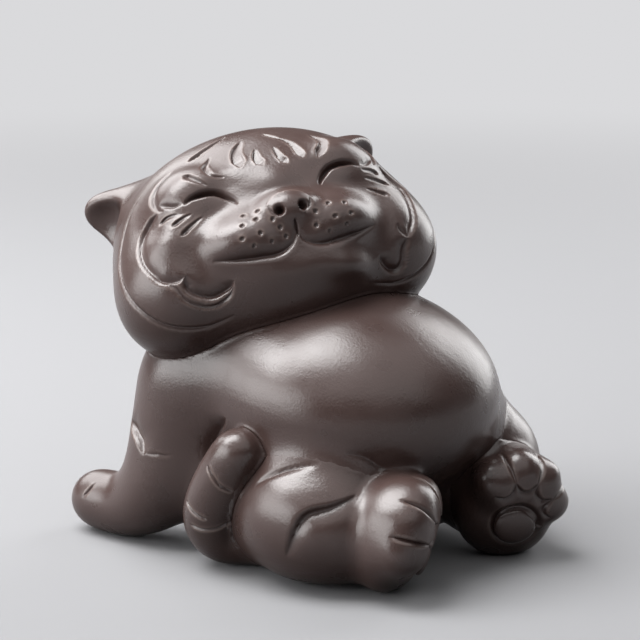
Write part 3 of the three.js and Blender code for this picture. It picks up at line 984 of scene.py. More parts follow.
@dataclass(frozen=True)
class Clay:
    """Unglazed purple-brown clay, burnished to a satin skin, with fine grain and burrs painted lighter, partly as
    wear and partly as a painted glint.
    """

    name: str = "burnished_clay"
    colour: Triple = (0.089, 0.055, 0.049)
    deep_colour: Triple = (0.070, 0.042, 0.037)
    # Lighter colour of the burrs: part wear, part painted glint on their ridges
    wear_and_glint_colour: Triple = (0.21, 0.15, 0.13)
    roughness: Span = (0.25, 0.35)
    specular: Span = (0.25, 1.0)
    mottle_scale: float = 130.0
    mottle_detail: float = 4.0
    mottle_span: Span = (0.3, 0.7)
    grain_scale: float = 2600.0
    grain_height: float = 0.000035
    brush_scale: float = 420.0
    brush_turn: Triple = (0.4, 0.7, 0.2)
    brush_stretch: Triple = (1.0, 0.16, 1.0)
    brush_height: float = 0.00006
    fine_detail: float = 2.0

    def material(self) -> bpy.types.Material:
        """Mottled colour, burrs painted lighter as wear and as a painted glint, polish from above, and grain over
        brush marks.

        Returns:
            The new material.
        """
        material = bpy.data.materials.new(self.name)
        material.use_nodes = True
        nodes = Nodes(material.node_tree)
        place = nodes.add("ShaderNodeTexCoord", "Object")
        wear_and_glint, polish = (nodes.add("ShaderNodeAttribute", "Fac", attribute_name=word) for word in ("wear_and_glint", "polish"))
        mottle = nodes.noise(place, self.mottle_scale, self.mottle_detail)
        colour = nodes.mix(mottle, (*self.deep_colour, 1), (*self.colour, 1))
        along = nodes.add(
            "ShaderNodeMapping", "Vector",
            {"Vector": place, "Rotation": self.brush_turn, "Scale": self.brush_stretch},
        )
        brush = nodes.noise(along, self.brush_scale, self.fine_detail)
        marks = nodes.add("ShaderNodeBump", "Normal", {"Height": brush, "Distance": self.brush_height})
        grain = nodes.noise(place, self.grain_scale, self.fine_detail)
        skin = {"Height": grain, "Distance": self.grain_height, "Normal": marks}
        # The base colour is painted lighter on the burrs: part wear, part painted glint.
        nodes.fill("Principled BSDF", {
            "Base Color": nodes.mix(wear_and_glint, colour, (*self.wear_and_glint_colour, 1)),
            "Roughness": nodes.spread(mottle, self.mottle_span, self.roughness),
            "Specular IOR Level": nodes.spread(polish, (0, 1), self.specular),
            "Normal": nodes.add("ShaderNodeBump", "Normal", skin),
        })
        return material


@dataclass
class Workshop:
    """Turns meshes into dressed pieces that ride on the figure."""

    material: bpy.types.Material
    fine: float = 1.0
    crease_angle: float = 80.0
    unpolished_slope: float = -0.45
    polish_span: float = 0.8
    pieces: list[bpy.types.Object] = field(default_factory=list)

    def count(self, full: int, step: int = 1) -> int:
        """A grid count at the chosen fineness, as a multiple of a step."""
        return max(step, int(round(full * self.fine / step)) * step)

    def piece(self, node: str, mesh: Mesh) -> None:
        """Makes an object from a mesh, dresses it in clay and lets it stand for its node.

        Args:
            node: The node that it stands for, whose name it takes.
            mesh: Its closed mesh.
        """
        mesh = mesh.outwards()
        data = mesh.data(node)
        self.dress(data, mesh)
        thing = bpy.data.objects.new(node, data)
        bpy.context.scene.collection.objects.link(thing)
        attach(thing, BODY)
        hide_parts(node)
        self.pieces.append(thing)
        LOG.info("%s: %d vertices, %d faces", node, len(data.vertices), len(data.polygons))

    def dress(self, data: bpy.types.Mesh, mesh: Mesh) -> None:
        """Gives a mesh its clay and shading, the burrs' share of wear and painted glint, and the polish that the clay
        reads.

        Polish grows with how far a vertex faces up, as hands and poured tea reach it.

        Args:
            data: Blender's mesh.
            mesh: The mesh that it was made from.
        """
        polish = np.clip((mesh.normals()[:, 2] - self.unpolished_slope) / self.polish_span, 0, 1)
        # The first attribute paints the burrs lighter: part wear, part painted glint.
        for word, values in (("wear_and_glint", mesh.wear_and_glint), ("polish", polish)):
            layer = data.attributes.new(word, "FLOAT", "POINT")
            layer.data.foreach_set("value", values.astype(np.float32))
        data.shade_smooth()
        data.set_sharp_from_angle(angle=math.radians(self.crease_angle))
        ends = np.empty(2 * len(data.edges), np.int32)
        data.edges.foreach_get("vertices", ends)
        sharp = np.empty(len(data.edges), bool)
        data.edges.foreach_get("use_edge_sharp", sharp)
        on_rim = np.isin(ends.reshape(-1, 2), mesh.rim).all(1)
        data.edges.foreach_set("use_edge_sharp", sharp | on_rim)
        data.materials.append(self.material)


# Ways to make a piece


@dataclass
class Site:
    """What a sub-assembly is built with: the whole figure, the cuts in its body and the workshop."""

    figure: Figure
    carving: Carving
    shop: Workshop


class Part:
    """A sub-assembly of the figure."""

    def members(self) -> dict[str, Member]:
        """Its forms by name, in the order in which each runs into those before it."""
        raise NotImplementedError

    def build(self, site: Site) -> None:
        """Makes its pieces with what the site holds."""
        raise NotImplementedError


@dataclass(frozen=True)
class Shell:
    """A pressed half: a cap of rays forward or back, cast to an outer skin and, on a coarser grid, to a lining."""

    node: str
    facing: int
    spread: float
    grid: int
    crowd: float = 0.0
    inner_step: int = 6

    def build(self, skin: Skin, lining: Skin, surface: Callable[[Array, Skin], Array], carving: Carving,
              shop: Workshop) -> None:
        """Makes the shell.

        Args:
            skin: Its outer skin.
            lining: Its inner skin.
            surface: Gives the points of a skin along rays.
            carving: Cuts in the outer skin.
            shop: Where pieces are made.
        """
        count = shop.count(self.grid, self.inner_step)
        outer, inner = (
            surface(disc_rays((0, self.facing, 0), (1, 0, 0), steps + 1, self.spread, self.crowd), on)
            for steps, on in ((count, skin), (count // self.inner_step, lining))
        )
        outer, wear_and_glint = carving.carve(skin, outer)
        shop.piece(self.node, shell_mesh(outer, inner, wear_and_glint))


@dataclass(frozen=True)
class Rolled:
    """A rolled limb: rays square to its path, domed over both ends."""

    rows: int
    sectors: int
    dome: int = 24
    reach: float = 22.0

    def build(self, form: Taper, skin: Skin, site: Site) -> None:
        """Casts the rays to the limb's skin, cuts it and makes the piece, named for the skin's own form.

        Args:
            form: The limb's own form.
            skin: Its share of the figure's skin.
            site: What it is built with.
        """
        shop = site.shop
        path, sectors = form.path(shop.count(self.rows))[:, :3], shop.count(self.sectors)
        origins, rays, rings = limb_rays(path, sectors, shop.count(self.dome))
        points, wear_and_glint = site.carving.carve(skin, skin.cast(origins, rays, self.reach))
        shop.piece(skin.own, Mesh(points, *ring_faces(rings, sectors), wear_and_glint))


@dataclass(frozen=True)
class Globe:
    """A round piece: rays from its middle, ring by ring about an axis."""

    rows: int
    sectors: int
    reach: float

    def build(self, node: str, middle: Array, axis: Array, skin: Skin, carving: Carving, shop: Workshop) -> None:
        """Casts the rays to the piece's skin, cuts it and makes the piece.

        Args:
            node: The node that it stands for.
            middle: Where the rays start.
            axis: Direction of the first pole.
            skin: Its share of the figure's skin.
            carving: Its cuts.
            shop: Where pieces are made.
        """
        rows, sectors = shop.count(self.rows), shop.count(self.sectors)
        points = skin.cast(middle, globe_rays(axis, rows, sectors), self.reach)
        points, wear_and_glint = carving.carve(skin, points)
        shop.piece(node, Mesh(points, *ring_faces(rows, sectors), wear_and_glint))


# Sub-assemblies


@dataclass
class Torso(Part):
    """Belly, chest and rump: two pressed shells on a base slab."""

    belly_centre: Triple = (0, -3.5, 29.8)
    belly_size: Triple = (53, 55, 37.5)
    belly_lean: float = 7.0
    chest_centre: Triple = (0, 12.5, 33.5)
    chest_size: Triple = (47, 36, 37)
    rump_centre: Triple = (0, 5, 11)
    rump_size: Triple = (50, 42, 31)
    softness: float = 8.0
    blend: float = 9.0
    parting: float = 3.0
    heart_height: float = 24.0
    reach: float = 60.0
    wall: float = 4.0
    base_thickness: float = 3.0
    vent_radius: float = 4.0
    vent_back: float = 9.0
    # Share of the way from the vent to the edge, and height
    slab_profile: Route = (
        (0, 0), (0.35, 0), (0.75, 0), (0.985, 0), (1, 0.35), (1, 1.4), (1, 2.4), (1, 2.95),
        (0.99, 3), (0.75, 3), (0.35, 3), (0, 3), (0, 2), (0, 1),
    )
    slab_sectors: int = 240
    slab_floor: float = -5.0
    grid: int = 240
    near: tuple[str, ...] = (
        "right_foreleg", "left_foreleg", "right_hind_leg", "left_hind_leg",
        "right_foot", "left_foot", "tail", "head",
    )

    def members(self) -> dict[str, Member]:
        """Belly, chest and rump run together.

        Returns:
            The torso's form by its name.
        """
        belly = Ovoid(self.belly_centre, self.belly_size, turn(Axis.X, self.belly_lean))
        chest = Ovoid(self.chest_centre, self.chest_size)
        rump = Ovoid(self.rump_centre, self.rump_size)
        return {"torso": Member(Cluster(belly, ((chest, self.softness), (rump, self.softness))), self.blend)}

    def build(self, site: Site) -> None:
        """Makes the belly shell, the back shell and the base slab.

        Args:
            site: What they are built with.
        """
        skin = Skin(site.figure, "torso", self.near, floor=self.base_thickness)
        lining = replace(skin, near=(), inset=self.wall)
        heart = np.array((0, self.parting, self.heart_height), np.float32)
        for node, facing in (("belly_shell", -1), ("back_shell", 1)):
            shell = Shell(node, facing, math.pi / 2, self.grid)
            shell.build(skin, lining, lambda rays, on: on.cast(heart, rays, self.reach), site.carving, site.shop)
        site.shop.piece("base_slab", self.slab(replace(skin, floor=self.slab_floor)))

    def slab(self, skin: Skin) -> Mesh:
        """A slab whose edge follows the torso, with a round vent: a profile carried round the vent's axis.

        Args:
            skin: The torso's skin, uncut at the slab's heights.

        Returns:
            The mesh.
        """
        sectors = self.slab_sectors
        round_ = 2 * np.pi * np.arange(sectors) / sectors
        rays = np.stack([np.cos(round_), np.sin(round_), np.zeros(sectors)], -1).astype(np.float32)
        rows = []
        for share, height in self.slab_profile:
            centre = np.array((0, self.vent_back, height), np.float32)
            edge = length(skin.cast(centre, rays, self.reach) - centre)
            reach = self.vent_radius + (edge - self.vent_radius) * share
            rows.append(centre + rays * reach[:, None])
        ring = np.arange(len(rows) * sectors).reshape(len(rows), sectors)
        below, onward = np.roll(ring, -1, axis=0), np.roll(ring, -1, axis=1)
        quads = np.stack([ring, onward, np.roll(below, -1, axis=1), below], -1).reshape(-1, 4)
        return Mesh(np.vstack(rows), quads, np.zeros((0, 3), int), np.zeros(ring.size, np.float32))


@dataclass(frozen=True)
class Swell:
    """A soft rise or hollow of the face, at a longitude and latitude about the head's centre, in degrees."""

    lon: float
    lat: float
    wide: float
    tall: float
    height: float
    tilt: float = 0.0

    def mirrored(self, middle: float) -> "Swell":
        """The same form on the other side of the face."""
        return replace(self, lon=2 * middle - self.lon, tilt=-self.tilt)

    def at(self, lon: Array, lat: Array) -> Array:
        """A bell of the squared scaled distance from its middle.

        Args:
            lon: Longitudes in degrees.
            lat: Latitudes in degrees.

        Returns:
            Heights in millimetres.
        """
        x = (lon - self.lon) * math.cos(math.radians(self.lat))
        y = lat - self.lat
        c, s = math.cos(math.radians(self.tilt)), math.sin(math.radians(self.tilt))
        u, v = (x * c + y * s) / self.wide, (y * c - x * s) / self.tall
        return self.height * np.exp(-(u * u + v * v))


@dataclass
class Head(Part):
    """The turned head: skull, cheeks, whisker pads, nose and chin in two pressed shells, with cut lines.

    A lump is a centre, a size and how softly it runs into the skull. Cuts are laid by longitude and latitude
    in degrees, those of the tiger's right side first.
    """

    centre: Triple = (-2.5, 16.5, 54.5)
    turned: float = 37.0
    tipped: float = 32.0
    tilted: float = 12.0
    middle: float = 1.5
    middle_shift: float = 0.6
    blend: float = 9.0
    skull: tuple[Triple, Triple] = ((0, 1, 0.5), (55, 44, 41))
    cheek: Lump = ((17, -5, -8), (26, 26, 24), 6.0)
    pad: Lump = ((6.6, -18.3, -6.2), (16.4, 12.4, 10.6), 4.5)
    nose: Lump = ((0, -21.5, -3.1), (11.4, 8.4, 7.8), 1.8)
    chin: Lump = ((0, -11, -13), (28, 20, 17), 6.0)
    # Longitude, latitude and distance from the head's centre
    brow_place: Triple = (-47, 15.5, 21.0)
    brow_size: Triple = (13, 9, 10)
    brow_tilt: float = 10.0
    brow_blend: float = 4.0
    rim_angle: float = 97.0
    crowd: float = 0.2
    wall: float = 4.0
    reach: float = 45.0
    face_grid: int = 306
    back_grid: int = 150
    route_steps: int = 6
    near: tuple[str, ...] = ("right_ear", "left_ear", "torso", "right_foreleg", "left_foreleg")

    swells: tuple[Swell, ...] = (
        Swell(-29, 12, 13, 5, -0.25, 5), Swell(-31, 6, 10, 4, 0.35, 10), Swell(-24, 20, 14, 8, 0.4),
    )
    single_swells: tuple[Swell, ...] = (
        Swell(1.5, 10, 9, 9, 0.5), Swell(1.5, -31, 26, 7, 0.7), Swell(24, -34, 11, 6, 1.4, -10),
        Swell(-46, -2.5, 11, 8, 1.6),
    )

    eye: Stroke = Stroke(
        ((-40.5, 8), (-38, 9.5), (-36, 10), (-31, 10.5), (-27, 10), (-23.5, 7.5), (-20.5, 4.5), (-19, 2)),
        1.5, 0.42, shoulder=0.6, sharp=2.6,
    )
    brow: Stroke = Stroke(
        ((-50, 34), (-53, 29.5), (-56.5, 22.5), (-56, 17), (-53, 11.5), (-50, 9)), 0.8, 0.34, shoulder=1.2, lip=0.08,
    )
    brow_fold: Stroke = Stroke(((-52, 13), (-47, 10), (-44.5, 9), (-41, 9)), 0.6, 0.3, shoulder=0.9, fade=0.4)
    ruff: Stroke = Stroke(
        ((-68, 27), (-74, 19.5), (-76.5, 10.5), (-76.5, 2.5), (-73.5, -6), (-70.5, -12.5), (-67.5, -19.5),
         (-65, -25), (-62, -30), (-57.5, -35), (-52, -39), (-45, -40.5), (-39, -41)),
        0.45, 0.4, lip=0.03, fade=0.2,
    )
    mouth: Stroke = Stroke(
        ((-36, -18.5), (-28.5, -21.5), (-21, -23.5), (-15, -24.5), (-9.5, -25), (-4.5, -24), (-0.5, -21.5),
         (1.8, -17)),
        1.0, 0.5, shoulder=1.3, fade=0.35, sharp=1.4,
    )
    nose_crease: Stroke = Stroke(((-3.5, -11.5), (-6.5, -8.5), (-7.5, -5)), 0.35, 0.3, lip=0.05)
    nostril: Stroke = Stroke(((-3.6, -8.4),), 2.4, 0.75, law=Law.PIT, bank=0.45)

    cheek_lobe: Stroke = Stroke(
        ((-53, 9.5), (-58, 8.3), (-62, 4.5), (-62.5, -1), (-60.5, -7), (-57.5, -12.5), (-55, -16.5), (-50.5, -19),
         (-47.5, -18.5)),
        0.8, 0.42, shoulder=1.5, lip=0.06, fade=0.12,
    )
    jowl_lobe: Stroke = Stroke(
        ((-47.5, -18.5), (-48.5, -21.5), (-48.5, -24), (-46.5, -27.5), (-43, -30.5), (-38.5, -31), (-34.5, -30.5),
         (-31.5, -28.5)),
        0.85, 0.4, shoulder=1.5, lip=0.06, fade=0.15,
    )
    cheek_rim: Stroke = Stroke(
        ((-57.5, -13.5), (-53, -19), (-51.5, -21.5), (-51, -25.5), (-49.5, -29), (-46.5, -32.5), (-42, -34),
         (-36, -33), (-31.5, -29.5)),
        0.35, 0.32, lip=0.06, fade=0.15,
    )
    far_lobe: Stroke = Stroke(
        ((52.5, -22.5), (56.5, -16), (58.5, -11.5), (61, -6), (64.5, 0.5), (62, 5.5), (58.5, 10)),
        0.8, 0.42, shoulder=1.5, lip=0.06, fade=0.12,
    )
    far_jowl: Stroke = Stroke(
        ((41.5, -30.5), (44, -33), (48.5, -35), (52, -34.5), (53, -31.5), (52, -27.5), (52.5, -22.5)),
        0.85, 0.4, shoulder=1.5, lip=0.06, fade=0.15,
    )
    far_notch: Stroke = Stroke(((52.5, -22.5), (50, -19.5), (49.5, -17.5)), 0.6, 0.32, fade=0.4)
    hook: Stroke = Stroke(
        ((-27.5, 35.5), (-30, 28), (-29, 23.5), (-26.5, 19.5), (-21.5, 17.8)), 0.75, 0.42, lip=0.05, fade=0.45,
    )
    leaf_tail: Stroke = Stroke(((11, 46.5), (14.5, 41.5), (18, 37)), 0.25, 0.25, lip=0.05)
    philtrum: Stroke = Stroke(((1.7, -13), (1.7, -16), (1.8, -20.5)), 0.6, 0.3, fade=0.2)
    nose_rim: Stroke = Stroke(
        ((-8.8, -5.5), (-6.5, -2), (-2.6, 0), (1.5, 0.6), (5.6, 0), (9.5, -2), (11.8, -5.5)),
        0.45, 0.35, shoulder=1.4, lip=0.1,
    )

    # Width and route of each leaf of the forehead
    leaves: tuple[tuple[float, Route], ...] = (
        (1.15, ((-6, 43), (-12, 34), (-12.5, 23.5))),
        (0.85, ((-1, 32), (-2.5, 25.5), (-1.5, 21))),
        (0.65, ((9.5, 31), (9.5, 23.5), (11, 18.5))),
        (0.75, ((17, 38.5), (21, 30.5), (20.5, 20))),
        (0.9, ((39, 37), (35.5, 26), (28, 18))),
        (0.7, ((-29.5, 14), (-33.5, 17.5), (-38, 21.5))),
        (0.8, ((-15, 56), (-27, 48), (-40, 38.5))),
    )
    leaf: Stroke = Stroke((), 0.5, 0.0, lip=0.07, law=Law.LEAF, ramp=0.7)
    nicks: tuple[Route, ...] = (
        ((-43, 5), (-48, 5.5), (-51.5, 4.5)), ((-38.5, 3.5), (-42, 2.5), (-46, 1)),
        ((-35, 1), (-39.5, -1.5), (-43.5, -4)), ((44, 6.5), (49, 6), (53, 5)),
        ((44.5, 3), (50, 1.8), (55.5, 0)), ((43.5, -2), (47, -3.5), (51, -5.5)),
    )
    nick: Stroke = Stroke((), 0.5, 0.42, lip=0.06, law=Law.LEAF, ramp=0.4)
    dots: Route = (
        (-12, -5.5), (-18, -5.5), (-13.5, -9), (-7, -11), (-19.5, -10), (-13.5, -15), (-5, -15), (-21, -15),
        (-17.5, -19), (-10, -19.5), (-3.5, -19),
        (17.5, -9.2), (24, -10), (11, -11.8), (18, -15), (25, -14.5), (10, -17.3), (22.5, -18.5), (15, -20.5),
    )
    dot: Stroke = Stroke((), 0.42, 0.32, lip=0.05, law=Law.PIT, bank=0.17)

    @property
    def frame(self) -> Array:
        """The head's turning: about Z, then tipped up about X, then tilted about Y."""
        return turn(Axis.Z, -self.turned) @ turn(Axis.X, -self.tipped) @ turn(Axis.Y, -self.tilted)

    def members(self) -> dict[str, Member]:
        """Skull, cheeks, whisker pads, brows, nose and chin run together.

        Returns:
            The head's form by its name.
        """
        more: list[tuple[Form, float]] = []
        for side in Side:
            for ((x, y, z), size, blend), shift in ((self.cheek, 0.0), (self.pad, self.middle_shift)):
                more.append((Ovoid((side * x + shift, y, z), size), blend))
            lon, lat, reach = self.brow_place
            facing = turn(Axis.Z, self.middle + side * (self.middle - lon)) @ turn(Axis.X, -lat)
            place = tuple(facing @ np.array((0, -reach, 0)))
            more.append((Ovoid(place, self.brow_size, facing @ turn(Axis.Y, side * self.brow_tilt)), self.brow_blend))
        for ((x, y, z), size, blend), shift in ((self.nose, self.middle_shift), (self.chin, 0.0)):
            more.append((Ovoid((x + shift, y, z), size), blend))
        form = Cluster(Ovoid(*self.skull), tuple(more))
        return {"head": Member(Placed(form, self.centre, self.frame), self.blend)}

    def strokes(self) -> list[Stroke]:
        """All cuts of the head, with the paired ones repeated on the left.

        Returns:
            The cuts, in the order in which the skin is gathered to them.
        """
        paired = [self.eye, self.brow, self.brow_fold, self.ruff, self.mouth, self.nose_crease, self.nostril]
        single = [
            self.cheek_lobe, self.jowl_lobe, self.cheek_rim, self.far_lobe, self.far_jowl, self.far_notch,
            self.hook, self.leaf_tail, self.philtrum, self.nose_rim,
        ]
        single += [replace(self.leaf, route=route, width=width) for width, route in self.leaves]
        single += [replace(self.nick, route=route) for route in self.nicks]
        single += [replace(self.dot, route=(dot,)) for dot in self.dots]
        return paired + [stroke.mirrored(self.middle) for stroke in paired] + single

    def surface(self, local_rays: Array, skin: Skin) -> Array:
        """Points of a skin along rays from the head's centre, with the face's soft rises and hollows added.

        Args:
            local_rays: Unit directions in the head's frame.
            skin: The skin.

        Returns:
            The points.
        """
        centre = np.asarray(self.centre, np.float32)
        rays = (local_rays @ self.frame.T).astype(np.float32)
        plain = length(skin.cast(centre, rays, self.reach) - centre)
        x, y, z = local_rays.T
        lon, lat = np.degrees(np.arctan2(x, -y)), np.degrees(np.arctan2(z, np.hypot(x, y)))
        every = (*self.swells, *(swell.mirrored(self.middle) for swell in self.swells), *self.single_swells)
        raised = plain + sum(swell.at(lon, lat) for swell in every).astype(np.float32)
        return centre + rays * raised[:, None]

    def carving(self, skin: Skin) -> Carving:
        """The cuts laid on the head's skin.

        Args:
            skin: The head's skin.

        Returns:
            The cuts with their routes.
        """
        strokes, routes = self.strokes(), []
        for stroke in strokes:
            angles = np.radians(np.array(stroke.route, float))
            if len(angles) > 1:
                angles = smooth_route(angles, self.route_steps * len(angles))
            lon, lat = angles.T
            rays = np.stack([np.sin(lon) * np.cos(lat), -np.cos(lon) * np.cos(lat), np.sin(lat)], -1)
            routes.append(self.surface(rays.astype(np.float32), skin))
        return Carving(strokes, routes)

    def build(self, site: Site) -> None:
        """Makes the face shell and the back shell.

        Args:
            site: What they are built with.
        """
        skin = Skin(site.figure, "head", self.near)
        lining = replace(skin, near=(), inset=self.wall)
        rim_angle = math.radians(self.rim_angle)
        carving = self.carving(skin)
        for shell in (
            Shell("face_shell", -1, rim_angle, self.face_grid, self.crowd),
            Shell("head_back_shell", 1, math.pi - rim_angle, self.back_grid),
        ):
            shell.build(skin, lining, self.surface, carving, site.shop)


@dataclass
class Ears(Part):
    """Round cones on the sides of the head, scooped at the front."""

    head: Head
    root: Triple = (17.4, 8.8, 12.2)
    outwards: Triple = (8.9, 2.4, 5.3)
    middle_shift: float = 1.0
    root_radius: float = 7.5
    middle_radius: float = 5.0
    tip_radius: float = 3.0
    middle_share: float = 0.6
    path_steps: int = 12
    scoop_facing: Triple = (0, -0.66, -0.75)
    scoop_size: Triple = (24, 12.4, 13)
    scoop_depth: float = 1.2
    scoop_edge: float = 1.2
    blend: float = 6.5
    heart_share: float = 0.4
    heart_shift: Triple = (0, 1.5, 1.2)
    grid: Globe = Globe(rows=90, sectors=120, reach=20.0)

    def path(self, side: Side) -> Array:
        """Stations from the root to the tip, in the head's frame.

        Args:
            side: Which ear.

        Returns:
            Rows of place and radius.
        """
        root = np.array(self.root) * (side, 1, 1) + (self.middle_shift, 0, 0)
        onwards = np.array(self.outwards) * (side, 1, 1)
        radii = (self.root_radius, self.middle_radius, self.tip_radius)
        return np.array([(*(root + share * onwards), r) for share, r in zip((0, self.middle_share, 1), radii)])

    def form(self, side: Side) -> Placed:
        """One ear, scooped in front, in the figure's frame.

        Args:
            side: Which ear.

        Returns:
            The ear's form.
        """
        path = self.path(side)
        cone = Taper(tuple(map(tuple, path)), self.path_steps)
        along = unit(path[2, :3] - path[0, :3])
        facing = np.array(self.scoop_facing)
        facing = unit(facing - along * (facing @ along))
        centre = path[1, :3] + facing * (self.scoop_depth + self.scoop_size[1] / 2)
        scoop = Ovoid(tuple(centre), self.scoop_size, np.stack([along, facing, np.cross(along, facing)], 1))
        return Placed(Scooped(cone, scoop, self.scoop_edge), self.head.centre, self.head.frame)

    def members(self) -> dict[str, Member]:
        """Both ears."""
        return {side.word + "_ear": Member(self.form(side), self.blend) for side in Side}

    def build(self, site: Site) -> None:
        """Makes both ears.

        Args:
            site: What they are built with.
        """
        for side in Side:
            name = side.word + "_ear"
            root, _, tip = self.path(side)[:, :3]
            local = root * (1 - self.heart_share) + tip * self.heart_share + self.heart_shift
            heart = self.form(side).outwards(local.astype(np.float32))
            axis = (tip - root) @ self.head.frame.T
            self.grid.build(name, heart, axis, Skin(site.figure, name, ("head",)), Carving([], []), site.shop)


@dataclass
class Forelegs(Part):
    """Forelegs propped behind the body, with the paws pointing back."""

    stations: Route = (
        (17, 18, 32, 11.5), (19.3, 20.5, 22, 9.5), (21.55, 23.06, 12, 8.2), (23, 30.6, 6.2, 6.0),
        (23.5, 39.2, 5.8, 5.7),
    )
    path_steps: int = 34
    blend: float = 6.0
    grid: Rolled = Rolled(rows=150, sectors=110)

    def form(self, side: Side) -> Taper:
        """One foreleg."""
        return Taper(tuple((side * x, y, z, r) for x, y, z, r in self.stations), self.path_steps)

    def members(self) -> dict[str, Member]:
        """Both forelegs."""
        return {side.word + "_foreleg": Member(self.form(side), self.blend) for side in Side}

    def build(self, site: Site) -> None:
        """Makes both forelegs; the tail lies against the right one.

        Args:
            site: What they are built with.
        """
        for side in Side:
            near = ("torso", "head", "tail") if side is Side.RIGHT else ("torso", "head")
            self.grid.build(self.form(side), Skin(site.figure, side.word + "_foreleg", near), site)


